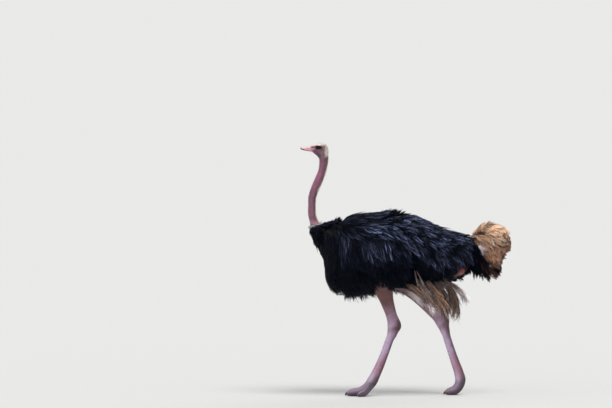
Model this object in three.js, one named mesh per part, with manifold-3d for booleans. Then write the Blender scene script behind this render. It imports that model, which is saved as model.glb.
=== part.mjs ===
// A male Masai ostrich in mid stride, life size, in millimetres, +Z up and the bill towards -X.
//
// The bird's outline, out to the tips of its feathers, is one long loft from the tail base over
// the trunk, the neck and the head to the tip of the bill. Each station of it gives the point on
// the back and the point on the belly side, both in the plane of symmetry, and a half width.
// Thin cuts part that loft into trunk, neck, head and bill. The wings are slabs taken out of its
// flanks. Legs, toes, claws and the hanging wing plumes are lofts along a path of their own.
// The left leg is forward with its foot flat, and the right leg is behind, rolling off its toes.

import * as THREE from "three";
import { mergeVertices } from "three/addons/utils/BufferGeometryUtils.js";
import Module from "manifold-3d";

const wasm = await Module();
wasm.setup();

// Driving dimensions. Working x is measured from the hip joint, z from the floor.
const GAP = 0.35; // left between two pieces that meet
const WING_DEPTH = 46; // thickness of a folded wing on the flank
const WING_PROUD = 10; // how far a wing stands out of the flank
const EYE_RADIUS = 20;
const EYE_PLACE = { x: -701, z: 1941, side: 22.5 };
const FOOT_SIDE = { left: -60, right: 92 }; // y of each foot's middle
const SLAB_SIDE = 246; // y of the hanging wing plumes, from the middle
const FLOOR_REACH = 1000; // half size of the block that trims the soles at the floor

const COLOURS = {
  black: ["#15141a", 0.8],
  wing: ["#1b1a21", 0.75],
  tail: ["#b28a5c", 0.9],
  plume: ["#a8927a", 0.9],
  neck: ["#9a6a7c", 0.6],
  head: ["#a58488", 0.65],
  bill: ["#c98f92", 0.4],
  eye: ["#1c1210", 0.05],
  leg: ["#a4848f", 0.55],
  foot: ["#86767e", 0.6],
  claw: ["#3a3230", 0.35],
};

// ---------------------------------------------------------------- stations

// Back x, z; belly x, z; half width; roundness (2 is an ellipse, more is boxier).
const TRUNK = [
  [494, 1256, 500, 968, 120, 2.0],
  [420, 1276, 428, 928, 186, 2.1],
  [320, 1300, 330, 888, 232, 2.2],
  [215, 1340, 215, 862, 264, 2.3],
  [105, 1390, 80, 848, 284, 2.4],
  [0, 1424, -60, 832, 294, 2.4],
  [-120, 1438, -230, 800, 297, 2.4],
  [-250, 1432, -400, 786, 290, 2.4],
  [-340, 1432, -545, 797, 276, 2.4],
  [-405, 1428, -622, 850, 258, 2.3],
  [-460, 1414, -644, 940, 236, 2.2],
  [-505, 1392, -655, 1040, 208, 2.1],
  [-552, 1374, -692, 1116, 180, 2.0],
  [-604, 1360, -740, 1190, 140, 2.0],
  [-652, 1350, -772, 1268, 88, 2.0],
  [-684, 1344, -768, 1322, 50, 2.0],
];
const NECK_LOWER = [
  [-688, 1352, -764, 1336, 38, 2.0],
  [-704, 1376, -770, 1366, 33, 2.0],
  [-716, 1410, -779, 1404, 31, 2.0],
  [-720, 1450, -782, 1446, 30, 2.0],
  [-720, 1500, -781, 1500, 30, 2.0],
];
const NECK_MIDDLE = [
  [-718, 1542, -780, 1548, 31, 2.0],
  [-696, 1605, -759, 1627, 32, 2.0],
  [-664, 1678, -727, 1703, 33, 2.0],
];
const NECK_UPPER = [
  [-638, 1752, -700, 1770, 32.5, 2.0],
  [-626, 1812, -694, 1816, 33, 2.0],
  [-623, 1850, -693, 1843, 34, 2.0],
];
const HEAD = [
  [-622, 1884, -698, 1858, 36, 2.1],
  [-623, 1918, -707, 1870, 38, 2.2],
  [-632, 1950, -719, 1881, 39.5, 2.3],
  [-650, 1971, -730, 1890, 40.5, 2.4],
  [-674, 1981, -739, 1897, 40.5, 2.4],
  [-706, 1976, -748, 1903, 36, 2.3],
  [-734, 1963, -758, 1906, 29, 2.2],
];
const BILL = [
  [-756, 1953, -768, 1908, 26, 2.2],
  [-780, 1949, -786, 1912, 24.5, 2.2],
  [-806, 1947, -808, 1916, 22, 2.2],
  [-828, 1945, -828, 1921, 18, 2.2],
  [-841, 1941, -841, 1926, 11, 2.1],
  [-846.5, 1936, -846.5, 1931, 4, 2.0],
];
const TAIL = [
  [470, 1262, 474, 1006, 92, 2.0],
  [520, 1322, 560, 968, 124, 2.0],
  [578, 1360, 628, 942, 142, 2.0],
  [652, 1371, 676, 944, 144, 2.0],
  [716, 1352, 724, 990, 124, 2.0],
  [764, 1300, 764, 1062, 88, 2.0],
  [790, 1232, 790, 1136, 46, 2.0],
  [798, 1204, 798, 1168, 16, 2.0],
];
// The line where the two halves of the bill meet, from gape to tip.
const MOUTH = [[-740, 1916], [-790, 1921], [-825, 1928], [-860, 1932]];
// The edge of a folded wing, seen from the side, from the shoulder over the back to the rear.
const WING_EDGE = [
  [-512, 1250], [-470, 1345], [-380, 1398], [-240, 1408], [-90, 1402], [60, 1362],
  [190, 1290], [300, 1180], [352, 1050], [330, 930], [230, 868], [80, 858],
  [-90, 850], [-230, 862], [-350, 930], [-450, 1060],
];

// Legs, from the knee inside the flank to the ball of the foot. Each station is x, y, z, half
// depth fore and aft, half width. HOCK is the number of the station at the hock.
const HOCK = 5;
const LEG_LEFT = [
  [-250, -140, 1010, 108, 84],
  [-222, -130, 925, 98, 78],
  [-193, -113, 835, 75, 63],
  [-163, -96, 735, 52, 46],
  [-131, -82, 635, 44, 38],
  [-111, -75, 560, 52, 45],
  [-124, -71, 492, 40, 39],
  [-146, -68, 438, 32, 31],
  [-178, -64, 348, 32, 27],
  [-219, -61, 244, 35, 29],
  [-252, -60, 172, 38, 33],
  [-280, -60, 118, 42, 40],
];
const LEG_RIGHT = [
  [-88, 140, 945, 104, 84],
  [10, 134, 856, 82, 73],
  [102, 122, 760, 58, 57],
  [184, 109, 672, 49, 44],
  [232, 101, 624, 48, 41],
  [268, 96, 576, 52, 45],
  [290, 94, 516, 40, 39],
  [310, 93, 448, 31, 30],
  [342, 92, 348, 32, 27],
  [378, 92, 244, 35, 29],
  [402, 92, 176, 38, 33],
  [414, 92, 122, 42, 40],
];
// Toes: x, outward step from the foot's middle, z, half height, half width.
const MAIN_TOE_FLAT = [
  [-266, 0, 132, 36, 32],
  [-298, -1, 90, 38, 36],
  [-338, -2, 53, 39, 38],
  [-380, -3, 34, 37, 38],
  [-420, -4, 30, 34, 35],
  [-450, -4, 26, 29, 28],
  [-466, -4, 22, 21, 19],
];
const OUTER_TOE_FLAT = [
  [-284, 14, 96, 25, 24],
  [-312, 36, 58, 26, 23],
  [-346, 58, 27, 27, 21],
  [-374, 74, 19, 22, 18],
  [-388, 82, 15, 16, 12],
];
const MAIN_TOE_ROLLED = [
  [420, 0, 148, 36, 32],
  [414, -1, 104, 40, 36],
  [398, -2, 68, 39, 38],
  [370, -3, 38, 38, 38],
  [341, -4, 29, 34, 35],
  [320, -4, 25, 29, 28],
  [308, -4, 22, 21, 19],
];
const OUTER_TOE_ROLLED = [
  [418, 14, 108, 25, 24],
  [402, 36, 66, 26, 23],
  [376, 58, 28, 27, 21],
  [350, 74, 18, 22, 18],
  [336, 82, 15, 16, 12],
];
// Claws: forward step and drop from the toe's end, half height, half width.
const MAIN_CLAW = [
  [-10, 0, 17, 15],
  [6, 1, 15, 13],
  [18, 7, 10, 9],
  [26, 14, 3.5, 3.5],
];
const OUTER_CLAW = [
  [-6, 0, 9, 7],
  [5, 3, 7, 6],
  [13, 8, 2.5, 2.5],
];
// The plumes that hang from a wing's hand: root x, z; middle x, z; tip x, z; half width; and how
// far each stands out from the first.
const HANGING_PLUMES = [
  [-96, 872, 40, 742, 206, 612, 34, 0],
  [30, 985, 120, 800, 236, 606, 52, 5],
  [90, 960, 200, 800, 300, 592, 54, 10],
  [150, 950, 300, 820, 362, 606, 54, 4],
  [230, 930, 380, 850, 452, 716, 36, -2],
];
const PLUME_THICKNESS = 8; // half of it
// The line on the tail, seen from the side, in front of and below which its coverts lie.
const COVERT_EDGE = [[440, 1200], [530, 1172], [592, 1100], [650, 1010], [700, 900]];

// ---------------------------------------------------------------- shape tools

// Slopes of a cubic through a column that doesn't overshoot its stations.
function slopesOf(column) {
  const steps = column.slice(1).map((value, i) => value - column[i]);
  return column.map((_, i) => {
    if (i === 0) return steps[0];
    if (i === steps.length) return steps[i - 1];
    const [before, after] = [steps[i - 1], steps[i]];
    return before * after <= 0 ? 0 : (2 * before * after) / (before + after);
  });
}

// A function of the station number, whole or not, that gives a smooth row of the table.
function smoothRows(rows) {
  const columns = rows[0].map((_, c) => rows.map((row) => row[c]));
  const slopes = columns.map(slopesOf);
  return (place) => {
    const i = Math.min(Math.max(Math.floor(place), 0), rows.length - 2);
    const t = place - i;
    const [t2, t3] = [t * t, t * t * t];
    return columns.map(
      (column, c) =>
        column[i] * (2 * t3 - 3 * t2 + 1) +
        slopes[c][i] * (t3 - 2 * t2 + t) +
        column[i + 1] * (3 * t2 - 2 * t3) +
        slopes[c][i + 1] * (t3 - t2),
    );
  };
}

// One ring of points: a superellipse with its two half axes as vectors.
function ring(centre, depth, width, roundness, sides) {
  const power = (value) => Math.sign(value) * Math.abs(value) ** (2 / roundness);
  return Array.from({ length: sides }, (_, k) => {
    const angle = (2 * Math.PI * k) / sides;
    return centre
      .clone()
      .addScaledVector(depth, power(Math.cos(angle)))
      .addScaledVector(width, power(Math.sin(angle)));
  });
}

// A closed geometry over rings of points, with a fan on each end.
function skinOver(rings) {
  const sides = rings[0].length;
  const middle = (points) =>
    points.reduce((sum, p) => sum.add(p), new THREE.Vector3()).divideScalar(sides);
  const points = [...rings.flat(), middle(rings[0]), middle(rings.at(-1))];
  const faces = [];
  for (let r = 0; r + 1 < rings.length; r++)
    for (let k = 0; k < sides; k++) {
      const next = (k + 1) % sides;
      const [a, b] = [r * sides + k, r * sides + next];
      faces.push([a, b, b + sides], [a, b + sides, a + sides]);
    }
  const last = (rings.length - 1) * sides;
  for (let k = 0; k < sides; k++) {
    const next = (k + 1) % sides;
    faces.push([points.length - 2, next, k], [points.length - 1, last + k, last + next]);
  }
  const volume = faces.reduce(
    (sum, [a, b, c]) => sum + points[a].dot(points[b].clone().cross(points[c])), 0,
  );
  const outward = volume > 0 ? faces : faces.map(([a, b, c]) => [a, c, b]);
  return new THREE.BufferGeometry()
    .setAttribute("position", new THREE.Float32BufferAttribute(
      points.flatMap((p) => [p.x, p.y, p.z]), 3))
    .setIndex(outward.flat());
}

// A geometry as a solid for cutting and joining.
function solidOf(geometry) {
  const bare = geometry.clone();
  bare.deleteAttribute("normal");
  bare.deleteAttribute("uv");
  const merged = mergeVertices(bare, 1e-4);
  return new wasm.Manifold(new wasm.Mesh({
    numProp: 3,
    vertProperties: merged.attributes.position.array,
    triVerts: new Uint32Array(merged.index.array),
  }));
}

// A loft over stations of back and belly points. grow makes it larger all round.
function bodyLoft(rows, { rings, sides, grow = 0, from = 0, to = rows.length - 1 }) {
  const rowAt = smoothRows(rows);
  const centreAt = (place) => {
    const [backX, backZ, bellyX, bellyZ] = rowAt(place);
    return new THREE.Vector3((backX + bellyX) / 2, 0, (backZ + bellyZ) / 2);
  };
  const ringAt = (place) => {
    const [backX, backZ, , , half, roundness] = rowAt(place);
    const centre = centreAt(place);
    const depth = new THREE.Vector3(backX, 0, backZ).sub(centre);
    depth.setLength(depth.length() + grow);
    return ring(centre, depth, new THREE.Vector3(0, half + grow, 0), roundness, sides);
  };
  const made = Array.from({ length: rings }, (_, r) => ringAt(from + ((to - from) * r) / (rings - 1)));
  if (grow > 0) {
    const pushed = (place, inside) => {
      const step = centreAt(place).sub(centreAt(inside)).setLength(grow);
      return ringAt(place).map((point) => point.add(step));
    };
    made.unshift(pushed(from, from + 0.1));
    made.push(pushed(to, to - 0.1));
  }
  return solidOf(skinOver(made));
}

// A loft along a path of x, y, z, half depth and half width. Its rings stand square to the path,
// and a round end has two smaller rings beyond it.
function pathLoft(rows, {
  rings, sides, grow = 0, roundness = 2, from = 0, to = rows.length - 1,
  roundStart = true, roundEnd = true,
}) {
  const rowAt = smoothRows(rows);
  const pointAt = (place) => new THREE.Vector3(...rowAt(place).slice(0, 3));
  const ringAt = (place, shrink, push) => {
    const [, , , deep, wide] = rowAt(place);
    const along = pointAt(place + 0.02).sub(pointAt(place - 0.02)).normalize();
    const across = new THREE.Vector3(0, 1, 0);
    across.addScaledVector(along, -across.dot(along)).normalize();
    const depth = new THREE.Vector3().crossVectors(across, along);
    const centre = pointAt(place).addScaledVector(along, push);
    return ring(centre, depth.setLength((deep + grow) * shrink),
      across.setLength((wide + grow) * shrink), roundness, sides);
  };
  const bulge = (place) => Math.min(rowAt(place)[3], rowAt(place)[4]) * 0.45 + grow;
  const endRings = (place, isRound, sign) => {
    if (isRound)
      return [ringAt(place, 0.86, sign * bulge(place) * 0.55), ringAt(place, 0.55, sign * bulge(place))];
    return grow ? [ringAt(place, 1, sign * grow)] : [];
  };
  return solidOf(skinOver([
    ...endRings(from, roundStart, -1).reverse(),
    ...Array.from({ length: rings }, (_, r) => ringAt(from + ((to - from) * r) / (rings - 1), 1, 0)),
    ...endRings(to, roundEnd, 1),
  ]));
}

// A flat outline in x and z, extruded along y from one side to the other.
function prism(outline, lowY, highY) {
  const shape = new THREE.Shape(outline.map(([x, z]) => new THREE.Vector2(x, z)));
  const geometry = new THREE.ExtrudeGeometry(shape, {
    depth: highY - lowY, bevelEnabled: false, steps: 1,
  });
  geometry.rotateX(Math.PI / 2).translate(0, highY, 0);
  return solidOf(geometry);
}

// The points of a closed smooth curve through an outline, moved outwards by grow.
function smoothOutline(outline, count, grow = 0) {
  const curve = new THREE.CatmullRomCurve3(
    outline.map(([x, z]) => new THREE.Vector3(x, z, 0)), true, "centripetal");
  const points = curve.getPoints(count).slice(0, -1);
  const turn = Math.sign(THREE.ShapeUtils.area(points));
  return points.map((p, i) => {
    const before = points[(i + points.length - 1) % points.length];
    const after = points[(i + 1) % points.length];
    const along = after.clone().sub(before).normalize();
    return [p.x + along.y * grow * turn, p.y - along.x * grow * turn];
  });
}

const group = new THREE.Group();

// Names a solid and puts it in the group, without the crumbs that a cut can leave beside it.
function add(name, solid, colour) {
  const largest = solid.decompose().sort((a, b) => b.volume() - a.volume())[0];
  const { vertProperties, triVerts } = largest.getMesh();
  const geometry = new THREE.BufferGeometry()
    .setAttribute("position", new THREE.BufferAttribute(vertProperties, 3))
    .setIndex(new THREE.BufferAttribute(triVerts, 1));
  geometry.computeVertexNormals();
  const [color, roughness] = COLOURS[colour];
  const mesh = new THREE.Mesh(geometry,
    new THREE.MeshStandardMaterial({ color, roughness, metalness: 0 }));
  mesh.name = name;
  group.add(mesh);
}

// ---------------------------------------------------------------- trunk and wings

const trunkSize = { rings: 18, sides: 22 };
const trunkWhole = bodyLoft(TRUNK, trunkSize);
const flankProud = bodyLoft(TRUNK, { ...trunkSize, grow: WING_PROUD });
const flankCore = bodyLoft(TRUNK, { ...trunkSize, grow: -WING_DEPTH });
const flankCoreGrown = bodyLoft(TRUNK, { ...trunkSize, grow: -WING_DEPTH - GAP });
const halfSpan = 400;
const wingInner = 120; // no part of a wing comes nearer to the middle than this
const wingOutline = smoothOutline(WING_EDGE, 26);
const wingOutlineGrown = smoothOutline(WING_EDGE, 26, GAP);

const SIDES = { left: -1, right: 1 };
const wings = {};
let trunk = trunkWhole;
for (const [name, side] of Object.entries(SIDES)) {
  const reach = (inner) => [side * inner, side * halfSpan].sort((a, b) => a - b);
  const slab = prism(wingOutline, ...reach(wingInner));
  const slabGrown = prism(wingOutlineGrown, ...reach(wingInner - GAP));
  wings[name] = flankProud.intersect(slab).subtract(flankCore);
  trunk = trunk.subtract(slabGrown.subtract(flankCoreGrown));
}
add("trunk", trunk, "black");
add("wing_left", wings.left, "wing");
add("wing_right", wings.right, "wing");

// What the legs, plumes, tail and neck are trimmed by, so that they meet the body.
const bodyGrown = bodyLoft(TRUNK, { ...trunkSize, grow: WING_PROUD + GAP })
  .intersect(prism(wingOutlineGrown, -halfSpan, halfSpan))
  .add(bodyLoft(TRUNK, { ...trunkSize, grow: GAP }));

// ---------------------------------------------------------------- tail and hanging plumes

const tail = bodyLoft(TAIL, { rings: 10, sides: 18 }).subtract(bodyGrown);
const belowCoverts = (drop) => prism(
  [...COVERT_EDGE.map(([x, z]) => [x, z - drop]), [440, 900 - drop]], -halfSpan, halfSpan);
add("tail_plumes", tail.subtract(belowCoverts(0)), "tail");
add("tail_coverts", tail.intersect(belowCoverts(2 * GAP)), "black");

// One plume: a flat blade that widens to its middle and hangs in a curve.
function hangingPlume([rootX, rootZ, middleX, middleZ, tipX, tipZ, half, stand], side) {
  const curve = new THREE.CatmullRomCurve3([
    new THREE.Vector3(rootX, 0, rootZ), new THREE.Vector3(middleX, 0, middleZ),
    new THREE.Vector3(tipX, 0, tipZ),
  ]);
  const stations = [0, 0.25, 0.5, 0.75, 0.96];
  return pathLoft(stations.map((t) => {
    const point = curve.getPoint(t);
    const swell = 0.45 + 0.55 * Math.sin(Math.PI * Math.min(1, 0.12 + 0.82 * t));
    return [point.x, side * (SLAB_SIDE + stand), point.z, half * swell, PLUME_THICKNESS * swell];
  }), { rings: 5, sides: 8, roundStart: false });
}
for (const [name, side] of Object.entries(SIDES)) {
  const bunch = HANGING_PLUMES.map((plume) => hangingPlume(plume, side))
    .reduce((joined, plume) => joined.add(plume));
  add(`wing_plumes_${name}`, bunch.subtract(bodyGrown), "plume");
}

// ---------------------------------------------------------------- neck, head and bill

// Neighbours share a station, and each stops half a gap short of it.
const spine = [...TRUNK, ...NECK_LOWER, ...NECK_MIDDLE, ...NECK_UPPER, ...HEAD, ...BILL];
const spineAt = smoothRows(spine);

function spinePiece(from, to, rings, sides) {
  const centreAt = (place) => {
    const [backX, backZ, bellyX, bellyZ] = spineAt(place);
    return new THREE.Vector2(backX + bellyX, backZ + bellyZ).divideScalar(2);
  };
  const small = 0.01;
  const perStation = (place) => centreAt(place + small).distanceTo(centreAt(place)) / small;
  // A ring that leans needs more than half a gap at its middle.
  const lean = 2.2;
  return bodyLoft(spine, {
    rings, sides,
    from: from + (lean * GAP) / perStation(from),
    to: to - (lean * GAP) / perStation(to),
  });
}

const neckStart = TRUNK.length - 1;
const neckMiddle = TRUNK.length + NECK_LOWER.length - 1;
const neckUpper = neckMiddle + NECK_MIDDLE.length;
const headStart = neckUpper + NECK_UPPER.length;
const billStart = headStart + HEAD.length;
const billEnd = spine.length - 1;
add("neck_lower", spinePiece(neckStart, neckMiddle, 7, 16).subtract(bodyGrown), "neck");
add("neck_middle", spinePiece(neckMiddle, neckUpper, 5, 16), "neck");
add("neck_upper", spinePiece(neckUpper, headStart, 5, 16), "neck");

let head = spinePiece(headStart, billStart, 10, 18);
const eyeGeometry = (radius, side) =>
  new THREE.SphereGeometry(radius, 12, 8)
    .rotateX(Math.PI / 2)
    .translate(EYE_PLACE.x, side * EYE_PLACE.side, EYE_PLACE.z);
for (const [name, side] of Object.entries(SIDES)) {
  head = head.subtract(solidOf(eyeGeometry(EYE_RADIUS + GAP, side)));
  add(`eye_${name}`, solidOf(eyeGeometry(EYE_RADIUS, side)), "eye");
}
add("head", head, "head");

const bill = spinePiece(billStart, billEnd + 1e-3, 9, 16);
const billHalf = 60; // taller and wider than the bill on every side
const under = (drop) => [
  ...MOUTH.map(([x, z]) => [x, z - drop]),
  [MOUTH.at(-1)[0], MOUTH.at(-1)[1] - billHalf],
  [MOUTH[0][0], MOUTH[0][1] - billHalf],
];
add("bill_upper", bill.subtract(prism(under(0), -billHalf, billHalf)), "bill");
add("bill_lower", bill.intersect(prism(under(GAP), -billHalf, billHalf)), "bill");

// ---------------------------------------------------------------- legs and feet

const floorBlock = solidOf(
  new THREE.BoxGeometry(2 * FLOOR_REACH, 2 * FLOOR_REACH, FLOOR_REACH)
    .translate(0, 0, -FLOOR_REACH / 2));

const LEGS = {
  left: { side: -1, path: LEG_LEFT, main: MAIN_TOE_FLAT, outer: OUTER_TOE_FLAT },
  right: { side: 1, path: LEG_RIGHT, main: MAIN_TOE_ROLLED, outer: OUTER_TOE_ROLLED },
};

for (const [name, leg] of Object.entries(LEGS)) {
  const middle = FOOT_SIDE[name];
  const placed = (rows) => rows.map(([x, out, ...rest]) => [x, middle + leg.side * out, ...rest]);
  const toeSize = { rings: 6, sides: 10, roundness: 2.3 };

  // The drumstick ends half a gap above the hock's station, and the tarsus starts as far below.
  const halfGap = GAP / 50; // in stations, which are at least 50 mm apart there
  const drumstick = pathLoft(leg.path, { rings: 8, sides: 14, to: HOCK - halfGap, roundEnd: false });
  const tarsusSize = { rings: 9, sides: 14, from: HOCK + halfGap, roundStart: false };
  const tarsus = pathLoft(leg.path, tarsusSize);
  const tarsusGrown = pathLoft(leg.path, { ...tarsusSize, grow: GAP });
  add(`drumstick_${name}`, drumstick.subtract(bodyGrown), "leg");
  add(`tarsus_${name}`, tarsus, "leg");

  // A claw grows out of its toe's end, and the toe is cut back where the claw sits in it.
  const clawOf = (toe, claw, grow) => {
    const [endX, endY, endZ] = toe.at(-1);
    const [beforeX, beforeY] = toe.at(-2);
    const ahead = new THREE.Vector2(endX - beforeX, endY - beforeY).normalize();
    const rows = claw.map(([forward, drop, tall, wide]) => [
      endX + ahead.x * forward, endY + ahead.y * forward, endZ - drop, tall, wide]);
    return pathLoft(rows, { rings: 4, sides: 8, grow, roundStart: false, roundEnd: false })
      .subtract(floorBlock);
  };
  const [mainToe, outerToe] = [placed(leg.main), placed(leg.outer)];
  const mainSolid = pathLoft(mainToe, toeSize);
  const mainGrown = pathLoft(mainToe, { ...toeSize, grow: GAP });
  add(`toe_main_${name}`,
    mainSolid.subtract(tarsusGrown).subtract(floorBlock)
      .subtract(clawOf(mainToe, MAIN_CLAW, GAP)), "foot");
  add(`toe_outer_${name}`,
    pathLoft(outerToe, { ...toeSize, rings: 6, sides: 8 })
      .subtract(tarsusGrown).subtract(mainGrown).subtract(floorBlock)
      .subtract(clawOf(outerToe, OUTER_CLAW, GAP)), "foot");
  add(`claw_main_${name}`, clawOf(mainToe, MAIN_CLAW, 0), "claw");
  add(`claw_outer_${name}`, clawOf(outerToe, OUTER_CLAW, 0), "claw");
}

// The origin is on the floor, at the middle of the bird's box.
const box = new THREE.Box3().setFromObject(group, true);
const centre = box.getCenter(new THREE.Vector3());
group.position.set(-centre.x, -centre.y, -box.min.z);

export default group;
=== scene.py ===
"""A male ostrich in mid stride, life size, as a still museum model.

One skin covers the trunk, neck, head, legs and toes. The coat lies over it as solid mesh tufts:
each feather is a spray of thin barbs that follows the lie of the coat. Bill, eyes and claws are
pieces of their own. Lengths in the tables, and places in the side view, are millimetres in the
part's working frame, whose x counts from the hip. All other lengths are metres in the row frame.
"""

import math
from collections import namedtuple

import bpy
import numpy as np
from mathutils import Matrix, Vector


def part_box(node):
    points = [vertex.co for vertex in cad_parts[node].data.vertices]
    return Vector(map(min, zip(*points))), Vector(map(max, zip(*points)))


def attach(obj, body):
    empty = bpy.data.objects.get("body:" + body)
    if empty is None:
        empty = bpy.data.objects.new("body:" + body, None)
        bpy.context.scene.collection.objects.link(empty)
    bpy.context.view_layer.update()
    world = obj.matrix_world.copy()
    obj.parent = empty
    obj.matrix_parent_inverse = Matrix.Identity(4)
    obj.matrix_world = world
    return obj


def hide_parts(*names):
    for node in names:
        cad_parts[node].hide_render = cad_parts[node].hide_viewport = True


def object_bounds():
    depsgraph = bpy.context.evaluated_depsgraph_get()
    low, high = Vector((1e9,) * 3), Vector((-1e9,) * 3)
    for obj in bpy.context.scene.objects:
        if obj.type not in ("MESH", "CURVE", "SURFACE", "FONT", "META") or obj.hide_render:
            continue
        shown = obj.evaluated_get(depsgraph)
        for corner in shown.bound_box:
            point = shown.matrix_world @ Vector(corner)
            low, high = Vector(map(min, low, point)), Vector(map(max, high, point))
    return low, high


bl_info = {
    "name": "Ostrich",
    "version": (1, 0, 0),
    "blender": (4, 5, 0),
    "location": "3D View > Sidebar > Ostrich",
    "description": "A life-size ostrich with skin, feathers, bill, eyes and claws",
    "category": "Object",
}

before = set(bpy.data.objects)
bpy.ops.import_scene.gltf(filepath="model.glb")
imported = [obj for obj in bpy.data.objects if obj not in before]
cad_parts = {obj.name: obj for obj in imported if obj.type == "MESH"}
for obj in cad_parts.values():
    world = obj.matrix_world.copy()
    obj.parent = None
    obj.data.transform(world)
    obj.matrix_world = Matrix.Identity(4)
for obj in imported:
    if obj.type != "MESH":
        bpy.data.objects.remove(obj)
SOLID_BOX = [list(corner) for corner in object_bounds()]

EYE_RADIUS = 0.0198
eye_low, eye_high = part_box("eye_left")
EYE = np.array([(eye_low.x + eye_high.x) / 2, -(eye_low.y + eye_high.y) / 2,
                (eye_low.z + eye_high.z) / 2])
HIP_X = EYE[0] + 0.701  # the row frame's x of the working frame's zero

LID_HALF = 0.0158  # half the length of the opening between the lids
LID_TILT = 0.10  # its slope, down towards the rear

# ---------------- stations

# Back x, z; belly x, z; half width; roundness.
TRUNK = [
    (494, 1256, 500, 968, 120, 2.0), (420, 1276, 428, 928, 186, 2.1),
    (320, 1300, 330, 888, 232, 2.2), (215, 1340, 215, 862, 264, 2.3),
    (105, 1390, 80, 848, 284, 2.4), (0, 1424, -60, 832, 294, 2.4),
    (-120, 1438, -230, 800, 297, 2.4), (-250, 1432, -400, 786, 290, 2.4),
    (-340, 1432, -545, 797, 276, 2.4), (-405, 1428, -622, 850, 258, 2.3),
    (-460, 1414, -644, 940, 236, 2.2), (-505, 1392, -655, 1040, 208, 2.1),
    (-552, 1374, -692, 1116, 180, 2.0), (-604, 1360, -740, 1190, 140, 2.0),
    (-652, 1350, -772, 1268, 88, 2.0), (-684, 1344, -768, 1322, 50, 2.0),
]
NECK = [
    (-688, 1352, -764, 1336, 38, 2.0), (-704, 1376, -770, 1366, 33, 2.0),
    (-716, 1410, -779, 1404, 31, 2.0), (-720, 1450, -782, 1446, 30, 2.0),
    (-720, 1500, -781, 1500, 30, 2.0), (-718, 1542, -780, 1548, 31, 2.0),
    (-696, 1605, -759, 1627, 32, 2.0), (-664, 1678, -727, 1703, 33, 2.0),
    (-638, 1752, -700, 1770, 32.5, 2.0), (-626, 1812, -694, 1816, 33, 2.0),
    (-623, 1850, -693, 1843, 34, 2.0),
]
HEAD = [
    (-622, 1884, -698, 1858, 36, 2.1), (-623, 1918, -707, 1870, 38, 2.2),
    (-632, 1950, -719, 1881, 39.5, 2.3), (-650, 1971, -730, 1890, 40.5, 2.4),
    (-674, 1981, -739, 1897, 40.5, 2.4), (-706, 1976, -748, 1903, 36, 2.3),
    (-734, 1963, -758, 1906, 29, 2.2),
]
BILL = [
    (-756, 1953, -768, 1908, 26, 2.2), (-780, 1949, -786, 1912, 24.5, 2.2),
    (-806, 1947, -808, 1916, 22, 2.2), (-828, 1945, -828, 1921, 18, 2.2),
    (-841, 1941, -841, 1926, 11, 2.1), (-846.5, 1936, -846.5, 1931, 4, 2.0),
]
TAIL = [
    (470, 1262, 474, 1006, 92, 2.0), (520, 1322, 560, 968, 124, 2.0),
    (578, 1360, 628, 942, 142, 2.0), (652, 1371, 676, 944, 144, 2.0),
    (716, 1352, 724, 990, 124, 2.0), (764, 1300, 764, 1062, 88, 2.0),
    (790, 1232, 790, 1136, 46, 2.0), (798, 1204, 798, 1168, 16, 2.0),
]
MOUTH = [(-740, 1916), (-790, 1921), (-825, 1928), (-860, 1932)]

# x, y, z, half depth fore and aft, half width, from the knee to the tip of the main toe.
HOCK = 5
LEG_LEFT = [
    (-250, -140, 1010, 108, 84), (-222, -130, 925, 98, 78), (-193, -113, 835, 75, 63),
    (-163, -96, 735, 52, 46), (-131, -82, 635, 44, 38), (-111, -75, 560, 52, 45),
    (-124, -71, 492, 40, 39), (-146, -68, 438, 32, 31), (-178, -64, 348, 32, 27),
    (-219, -61, 244, 35, 29), (-252, -60, 172, 38, 33), (-280, -60, 118, 42, 40),
    (-302, -59, 86, 39, 37), (-338, -58, 53, 38, 38), (-380, -57, 34, 36, 38),
    (-420, -56, 30, 33, 35), (-450, -56, 26, 28, 28), (-466, -56, 22, 21, 19),
]
LEG_RIGHT = [
    (-88, 140, 945, 104, 84), (10, 134, 856, 82, 73), (102, 122, 760, 58, 57),
    (184, 109, 672, 49, 44), (232, 101, 624, 48, 41), (268, 96, 576, 52, 45),
    (290, 94, 516, 40, 39), (310, 93, 448, 31, 30), (342, 92, 348, 32, 27),
    (378, 92, 244, 35, 29), (402, 92, 176, 38, 33), (414, 92, 122, 42, 40),
    (411, 91, 94, 40, 37), (398, 90, 66, 39, 38), (370, 89, 38, 37, 38),
    (341, 88, 29, 33, 35), (320, 88, 25, 28, 28), (308, 88, 22, 21, 19),
]
OUTER_TOE_LEFT = [
    (-284, -74, 96, 25, 24), (-312, -96, 58, 26, 23), (-346, -118, 27, 26, 21),
    (-374, -134, 19, 21, 18), (-388, -142, 15, 15, 12),
]
OUTER_TOE_RIGHT = [
    (418, 106, 108, 25, 24), (402, 128, 66, 26, 23), (376, 150, 28, 26, 21),
    (350, 166, 18, 21, 18), (336, 174, 15, 15, 12),
]
# Forward step and drop from the toe's end, half height, half width.
MAIN_CLAW = [(-10, 0, 17, 15), (6, 1, 15, 13), (18, 7, 10, 9), (26, 14, 3.5, 3.5)]
OUTER_CLAW = [(-6, 0, 9, 7), (5, 3, 7, 6), (13, 8, 2.5, 2.5)]
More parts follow.
